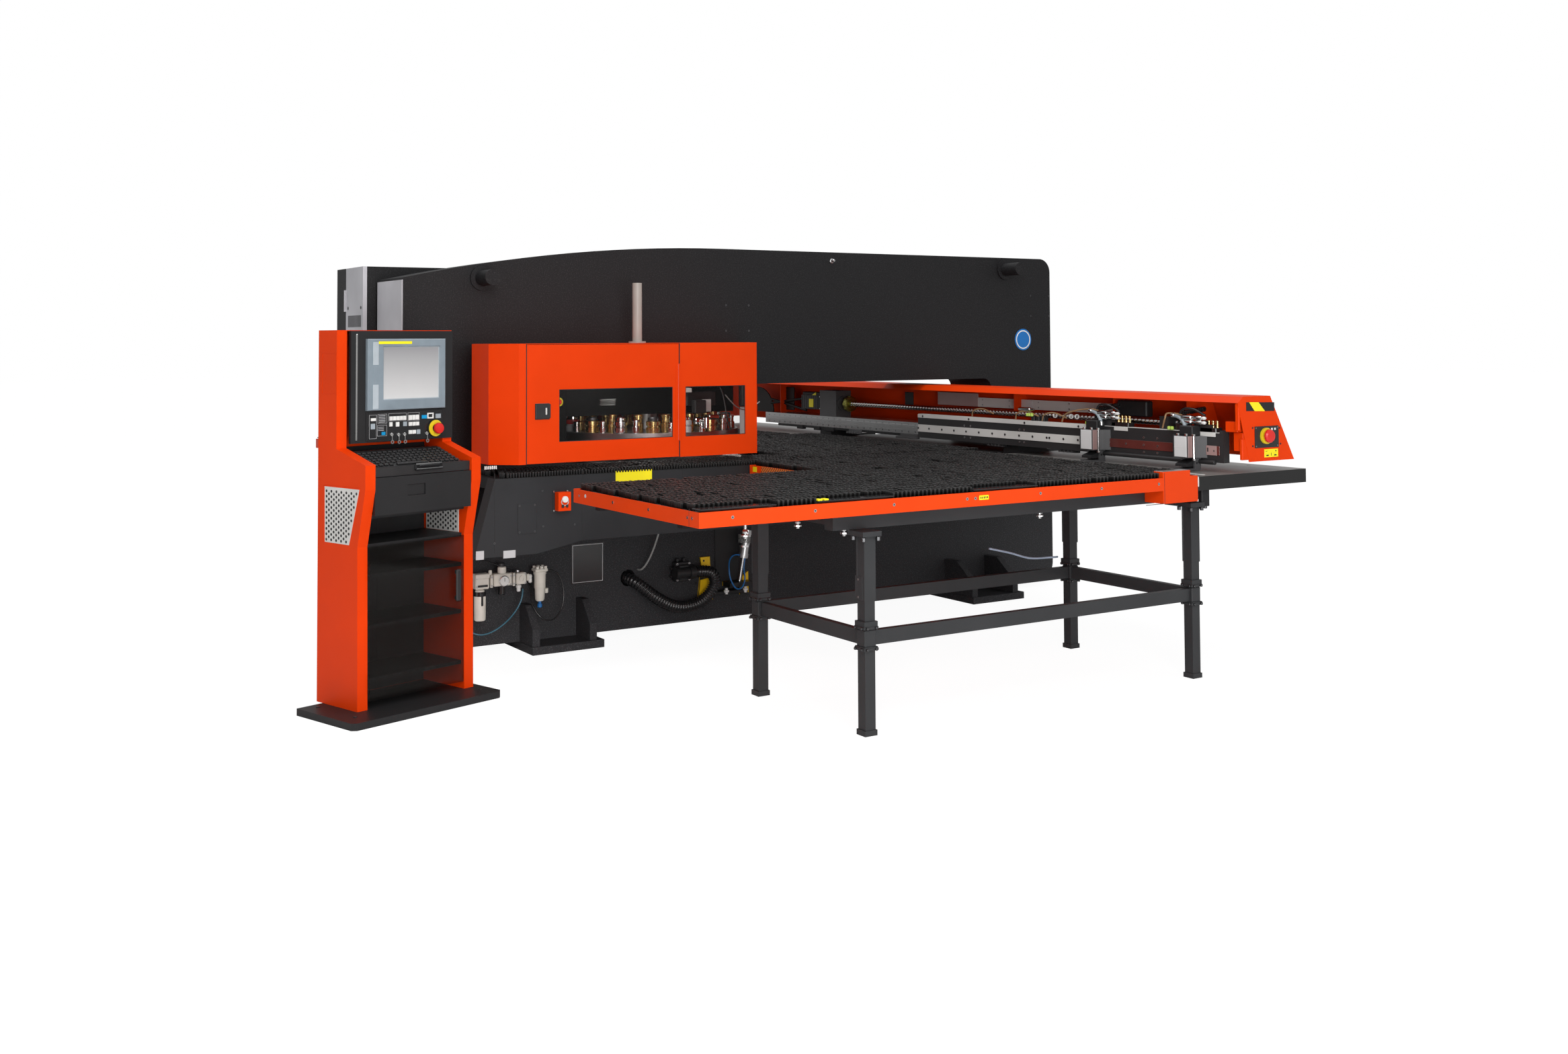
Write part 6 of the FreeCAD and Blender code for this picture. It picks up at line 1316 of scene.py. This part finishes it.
def addHoodInside():
    # bolted to the hood's back: a grey panel and a steel panel pink with a painted reflection of the red
    # paint, black brackets, two leaning bars, end plates and lugs
    y = hood["back"]
    corner = (-2035, 1053)
    arc = [(corner[0] + 220 * math.sin(a), corner[1] + 180 * math.cos(a))
        for a in np.linspace(0, math.pi / 2, 10)]
    black = boxes((-1719, y - 12, 1077, -1543, y - 4, 1241, 3), (-238, y - 12, 1150, -155, y - 4, 1242, 2))
    for lean, z in ((8, 1150), (-6, 1120)):
        black.append(moved(leaned(aimed(rod(9, 470, 2, 10), "x"), "y", lean), -1830, y - 22, z))
    black += [block((1690, 2560, 1170), (1900, y - 20, 1252), 6)]
    build("hoodInside", "y_slide_body", ("silver", block((462, y - 6, 1172), (1600, y, 1228), 1.5)),
        ("pinkSteel", block((92, y - 8, 1172), (478, y - 2, 1252), 2)),
        ("satinBlack", prism([corner] + arc, y - 14, y - 6, "y"), *black),
        ("redPaint", *boxes((2527, 2434, 1130, 2600, 2474, 1180, 3),
                (2560, 2452, 1040, 2618, 2500, 1128, 3), (2603, 2416, 1140, 2623, 2430, 1268, 2),
                (2606, 2440, 1000, 2623, 2486, 1100, 3))), *screws("-y",
            [(x, y - 6, z) for x in (520, 760, 1010, 1260, 1540) for z in (1186, 1216)], 6, 2, "machined"),
        ("whitePlate", block((900, y - 7.5, 1185), (960, y - 5, 1222), 1.5)))


valves = {"near": 2275.0, "far": 1700.0, "y": 2445.0, "rows": (1190, 1168), "loops": (640, 1020, 1240),
    "clips": (1130, 1330, 1455, 1500)}


def curve(*places, count=18):
    # a smooth path: each coordinate is the Catmull-Rom cubic through the given places
    spots = np.array([places[0], *places, places[-1]], float)
    t = np.linspace(0, 1, count, endpoint=False)[:, None]
    runs = [0.5 * ((2 * b) + (c - a) * t + (2 * a - 5 * b + 4 * c - d) * t ** 2 +
            (3 * b - a - 3 * c + d) * t ** 3) for a, b, c, d in zip(spots, spots[1:], spots[2:], spots[3:])]
    return np.vstack(runs + [spots[-2:-1]])


def valveSet(x, wide):
    # one bank over a clamp: brass fittings, two silver valves, the elbow hose, the loop and the cables
    y = valves["y"]
    fitting = turned([(7, 0), (9, 2), (9, 10), (6, 12), (6, 26), (8, 28), (8, 34), (4, 38)], 12)
    valve = turned([(11, 0), (13, 3), (13, 60), (9, 64), (9, 90), (12, 94), (12, 120), (6, 128)], 16)
    tip = turned([(7, 0), (8, 3), (8, 16), (4, 22)], 12)
    nipple = turned([(6, 0), (9, 2), (9, 14), (6, 18)], 12)
    elbow = curve((x - 70, y - 10, 1196), (x - 20, y - 22, 1186), (x + 14, y - 34, 1166),
        (x + 30, y - 38, 1136))
    arch = curve((x - 56, y + 6, 1150), (x - 20, y - 10, 1222), (x + 60, y - 20, 1232),
        (x + 130, y - 10, 1202))
    cable = curve((x - 300 * wide, y - 6, 1130), (x - 250 * wide, y - 16, 1176), (x - 110, y - 10, 1204),
        (x - 10, y - 8, 1196), (x + 110, y - 10, 1140))
    rows = valves["rows"]
    sleeves = [aimed(washer(7, 13, 8, 14), "x", x - 80 + k, y + 50, 1204 + 0.18 * k)
        for k in np.arange(0, 150, 12.0)]
    return {"brass": joined(*[moved(fitting, x + 92 + 26 * k, y, 1144) for k in range(5)]),
        "bright": joined(*[aimed(valve, "x", x - 2, y - 26, z) for z in rows],
            moved(rod(13, 22, 3, 16), x + 30, y - 38, 1124),
            aimed(rod(12, 20, 3, 16), "x", x - 84, y - 10, 1197)),
        "whitePlastic": joined(*[aimed(tip, "x", x + 126, y - 26, z) for z in rows]),
        "greyPlastic": pipe(elbow, 9, 12), "rubber": joined(pipe(arch, 6, 10),
            *boxes((x + 80, y - 16, 1122, x + 200, y + 30, 1146, 3),
                (x - 60, y - 16, 1124, x + 20, y + 20, 1160, 4)), *sleeves),
        "tanCable": pipe(cable, 4.4, 8),
        "greenPlastic": joined(*[moved(nipple, x - 90 + 20 * k, y - 24, 1124) for k in (0, 1)])}


def addValves():
    # both banks' parts by finish, then plates, cable loops, clips, small blocks and one long valve between
    # them
    sets = [valveSet(valves["near"], 0.5), valveSet(valves["far"], 1.0)]
    y = valves["y"]
    loops = [
        pipe(curve((x, y, 1126), (x + 30, y - 14, 1162), (x + 100, y - 4, 1174), (x + 190, y, 1150)), 4, 8)
        for x in valves["loops"]]
    nipple = turned([(6, 0), (9, 2), (9, 14), (6, 18)], 12)
    long = turned([(9, 0), (11, 3), (11, 90), (7, 94), (7, 120)], 14)
    build("valveDress", "x_carriage_body", *[(key, *[one[key] for one in sets]) for key in sets[0]],
        ("silver", *boxes((2381, y - 22, 1103, 2476, y - 14, 1122, 1),
                (1804, y - 22, 1103, 1900, y - 14, 1122, 1))), ("tanCable", *loops),
        ("whitePlastic", *[aimed(washer(10, 13, 8, 14), "x", x, y + 6, 1160) for x in valves["clips"]]),
        ("blackPlastic",
            *[block((1150 + 40 * k, y - 4, 1124), (1176 + 40 * k, y + 30, 1150), 3) for k in (0, 1, 2)]),
        ("greenPlastic", *[moved(nipple, x, y - 10, 1148) for x in (1130, 1146, 1166)]),
        ("bright", aimed(long, "x", 1060, y - 8, 1186)), smooth=True)


addHoodEnd()
addHoodInside()
addValves()
print("stage: hood and valves")

air = {"x": 300.0, "parts": (-446, -330, 378), "filter": (290.0, -120.0)}


def addAirUnit():
    # filter, regulator with gauge, valve and outlet in one row, each body a cut box with ribs and screws;
    # its tube is a path in t: (x, -270 - 150 t + 20 sin(pi t), 424 + 60 t ^ 1.6)
    x, (bowlY, gaugeY, gaugeZ) = air["x"], air["parts"]
    bodies = boxes((x - 22, -476, 344, x + 22, -404, 404, 5), (x - 28, -476, 396, x + 26, -402, 420, 4),
        (x - 24, -398, 348, x + 22, -384, 410, 3), (x - 26, -380, 352, x + 24, -284, 414, 5),
        (x - 24, -278, 346, x + 22, -266, 412, 3), (x - 24, -260, 352, x + 24, -206, 410, 5),
        (x - 16, -200, 364, x + 14, -186, 400, 3))
    bowl = turned([(24, 0), (29, 5), (30, 118), (22, 150), (10, 156)], 28)
    screwsAt = [(x + 22, y, z) for y in (-470, -392, -290, -272, -212) for z in (358, 400)]
    t = np.linspace(0, 1, 26)
    line = np.stack([x + 0 * t, -270 - 150 * t + 20 * np.sin(np.pi * t), 424 + 60 * t ** 1.6], 1)
    build("airUnitDress", "machine", ("creamPlastic", *bodies, moved(rod(22, 34, 4, 24), x, gaugeY, 412),
            aimed(washer(9, 15, 5, 20), "x", x + 23, -232, 380), moved(rod(9, 26, 3, 16), x, -392, 408),
            moved(bowl, x, bowlY, 188)), ("glossBlack",
            moved(turned([(27, 0), (29, 4), (29, 96)], 24), x, bowlY, 236),
            block((x + 22, -452, 262), (x + 31, -438, 330), 3), moved(rod(18, 46, 4, 20), x, gaugeY, 306),
            block((x + 24, -466, 356), (x + 26.6, -414, 366), 0.8)),
        ("bright", aimed(turned([(27, 0), (27, 14), (24, 17)], 36), "x", x + 22, gaugeY, gaugeZ)),
        ("whitePlastic", aimed(rod(22, 1, 0.3, 32), "x", x + 38.6, gaugeY, gaugeZ)),
        ("board", block((x + 39.4, -331, 376), (x + 40.2, -328.5, 394), 0.3)),
        ("whitePlastic",
            moved(turned([(8, 0), (10, 3), (10, 18), (14, 20), (14, 30), (9, 34)], 16), x, -240, 314),
            aimed(turned([(10, 0), (12, 3), (12, 16), (8, 20)], 16), "y", x, -190, 384),
            moved(turned([(6, 0), (10, 4), (10, 20), (7, 26)], 14), x, -178, 352)),
        ("machined", *[aimed(rod(5, 3, 0.8, 12), "x", *place) for place in screwsAt],
            moved(turned([(8, 0), (10, 2), (10, 12), (6, 16)], 14), x, -246, 410)),
        ("rubber", pipe(line, 3.2, 8)), smooth=True, replaces=["air_unit"])


def addAirFilter():
    # the separate filter: head with six posts, upper and lower bowls, a side lug, the drain and its stub of
    # tube
    x, y = air["filter"]
    posts = [block((x + dx - 7, y + dy - 7, 416), (x + dx + 7, y + dy + 7, 432), 2) for dx in (-20, 20)
        for dy in (-22, 0, 22)]
    build("filterDress", "machine", ("creamPlastic", block((x - 30, y - 34, 404), (x + 30, y + 34, 420), 4),
            moved(rod(33, 14, 3, 28), x, y, 392), *posts,
            moved(turned([(26, 0), (29, 3), (30, 68), (33, 74), (33, 84)], 32), x, y, 318),
            moved(turned([(18, 0), (24, 8), (26, 60), (28, 66)], 32), x, y, 254),
            block((x - 10, y + 28, 290), (x + 8, y + 44, 316), 3)),
        ("bluePlastic", moved(turned([(9, 0), (12, 3), (12, 18), (8, 22), (8, 36)], 16), x, y, 220)),
        ("rubber", aimed(rod(6, 12, 1, 12), "y", x, y + 28, 410)), smooth=True, replaces=["air_filter"])


brackets = {"cylinder": (262, 1118), "ties": 6, "tie": 34}


def addBrackets():
    # folded yellow plates, the cylinder's details, its clamps, the elbow's flange and the connectors; the
    # tie is a helix: (x + r cos t, y + r sin t, z + a share of t)
    slits = ((((872, 300), (926, 296), (920, 386), (862, 386)), 218),
        (((852, 158), (940, 150), (934, 272), (862, 262)), 216),
        (((1114, 178), (1166, 168), (1164, 286), (1126, 262)), 224))
    tip = turned([(9, 0), (9, 10), (15, 12), (15, 22), (9, 24), (9, 34)], 14)
    (x, y), t = brackets["cylinder"], np.linspace(0, 2 * np.pi * brackets["ties"], 60)
    r, rise = brackets["tie"], 46 / (2 * np.pi * brackets["ties"])
    tie = np.stack([x + r * np.cos(t), y + r * np.sin(t), 452 + rise * t], 1)
    build("bracketDress", "machine",
        ("yellowPaint", *[prism(outline, 207, high, "x") for outline, high in slits]),
        ("board",
            *[aimed(rod(6, 3, 0.5, 14), "x", 216, y, z) for y, z in ((838, 246), (1150, 190), (882, 366))],
            *boxes((205, 880, 176, 262, 1140, 196, 3), (202, 960, 240, 210, 1108, 540, 3))),
        ("whitePlastic", *[moved(tip, x, y, 178) for y in (1000, 1122)]), ("greyCable", pipe(tie, 2.4, 6)),
        ("bright", *[aimed(washer(24, 29, 10, 24), "z", x, y, z) for y, z in ((1114, 430), (1128, 486))]))
    pins, sockets = screws("x", [(252, y, z) for y in (698, 772) for z in (280, 366)], 6, 3, "machined")
    build("elbowDress", "machine", ("blackPlastic",
            *boxes((202, 690, 270, 252, 780, 376, 5), (252, 700, 286, 276, 772, 362, 4)),
            *[aimed(rod(9, 20, 2, 14), "-y", 226, 690, z) for z in (300, 344)]), pins,
        (*sockets, *[moved(rod(10, 18, 2, 14), 226, y, 376) for y in (712, 752)]))


addAirUnit()
addAirFilter()
addBrackets()
print("stage: air unit, filter and cylinder brackets")

legs = {"x": (1715.0, 2525.0), "y": (325.0, 2191.0), "collars": (342, 426)}


def addLegs():
    # at each leg: flange bolts, clamp collars with their screws, weld beads; mirrored in x for the far
    # stand
    bolts, plates, beads = [], [], []
    hexBolt = turned([(9, -16), (9, -2), (11, 0)], 6)
    pin = rod(6, 10, 1.5, 10)
    spots = [(side, side * lx, ly) for side in (1, -1) for lx in legs["x"] for ly in legs["y"]]
    for side, x, y in spots:
        bolts += [moved(hexBolt, x + dx, y + dy, 790) for dx in (-36, 36) for dy in (-36, 36)]
        for z in legs["collars"]:
            plates += [block((x - 36, y - 36, z - 5), (x + 36, y + 36, z + 7), 2)]
            bolts += [aimed(pin, "-y", x + dx, y - 34, z + 1) for dx in (-22, 22)]
            bolts += [aimed(pin, "x" if side > 0 else "-x", x + side * 34, y + dy, z + 1)
                for dy in (-22, 22)]
        plates += boxes((x - 28, y - 28, 352, x + 28, y + 28, 418, 2),
            (x - 29, y - 29, 2, x + 29, y + 29, 20, 3))
        beads += [block((x - 26, y - 29.2, 538), (x - 20, y - 27, 792), 1)]
    plates += [block((2488, 296, 536), (2540, 301, 632), 1.5)]
    build("legDress", "machine", ("legGrey", *plates), ("darkSteel", *bolts), ("legGrey", *beads),
        *screws("-y", [(2512, 296, 617), (2512, 296, 547)], 4, 1.2, "machined"))
    lead = curve((1760, 1616, 552), (1760, 1750, 520), (1758, 1880, 484), (1755, 2021, 476),
        (1730, 2090, 470))
    build("legCable", "machine", ("paleCable", pipe(lead, 5, 8)), smooth=True)


def addCorner():
    # the corner block's seams, lip and silver edge; the slab's joint strips, bracket, feet and flat screws
    build("cornerDress", "y_slide_body", ("board",
            *boxes((2584, 1959, 822, 2585.7, 1961, 962, 0.3), (2584, 1840, 822, 2585.5, 1955, 824.5, 0.3))),
        ("machined", block((2529, 1953, 966.5), (2583, 2125, 969), 1)),
        ("silver", *boxes((2577, 2178, 888, 2586, 2186, 934, 1), (2420, 2262, 933.5, 2546, 2274, 937, 1),
                (2300, 2180, 934, 2585, 2183, 936, 0.5))),
        ("satinBlack", block((2535, 2232, 790), (2560, 2284, 868), 3)),
        ("darkSteel", *[moved(rod(9, 14, 2, 12), 2540, y, 778) for y in (2240, 2274)]),
        *screws("z", [(x, y, 935) for x in (2300, 1900, 1500) for y in (2330, 2860)], 8, 1.2, "machined"))


loose = {"turns": 34, "radius": 2.2, "wide": 4, "high": 5, "places": ((470, 620, 972), (400, 700, 976),
        (376, 806, 974), (460, 850, 980), (555, 820, 974), (640, 822, 976), (700, 834, 972))}


def addLooseCable():
    # the pale curled cable: a path plus (w cos a, w sin a, h sin(a + 0.7)), with a growing evenly along it
    path = curve(*loose["places"], count=24)
    a = np.linspace(0, 2 * np.pi * loose["turns"], len(path))
    wound = np.stack(
        [loose["wide"] * np.cos(a), loose["wide"] * np.sin(a), loose["high"] * np.sin(a + 0.7)], 1)
    build("looseCable", "machine", ("whitePlastic", pipe(path + wound, loose["radius"], 6)), smooth=True)


addLegs()
addCorner()
addLooseCable()
print("stage: legs, corner and cable")
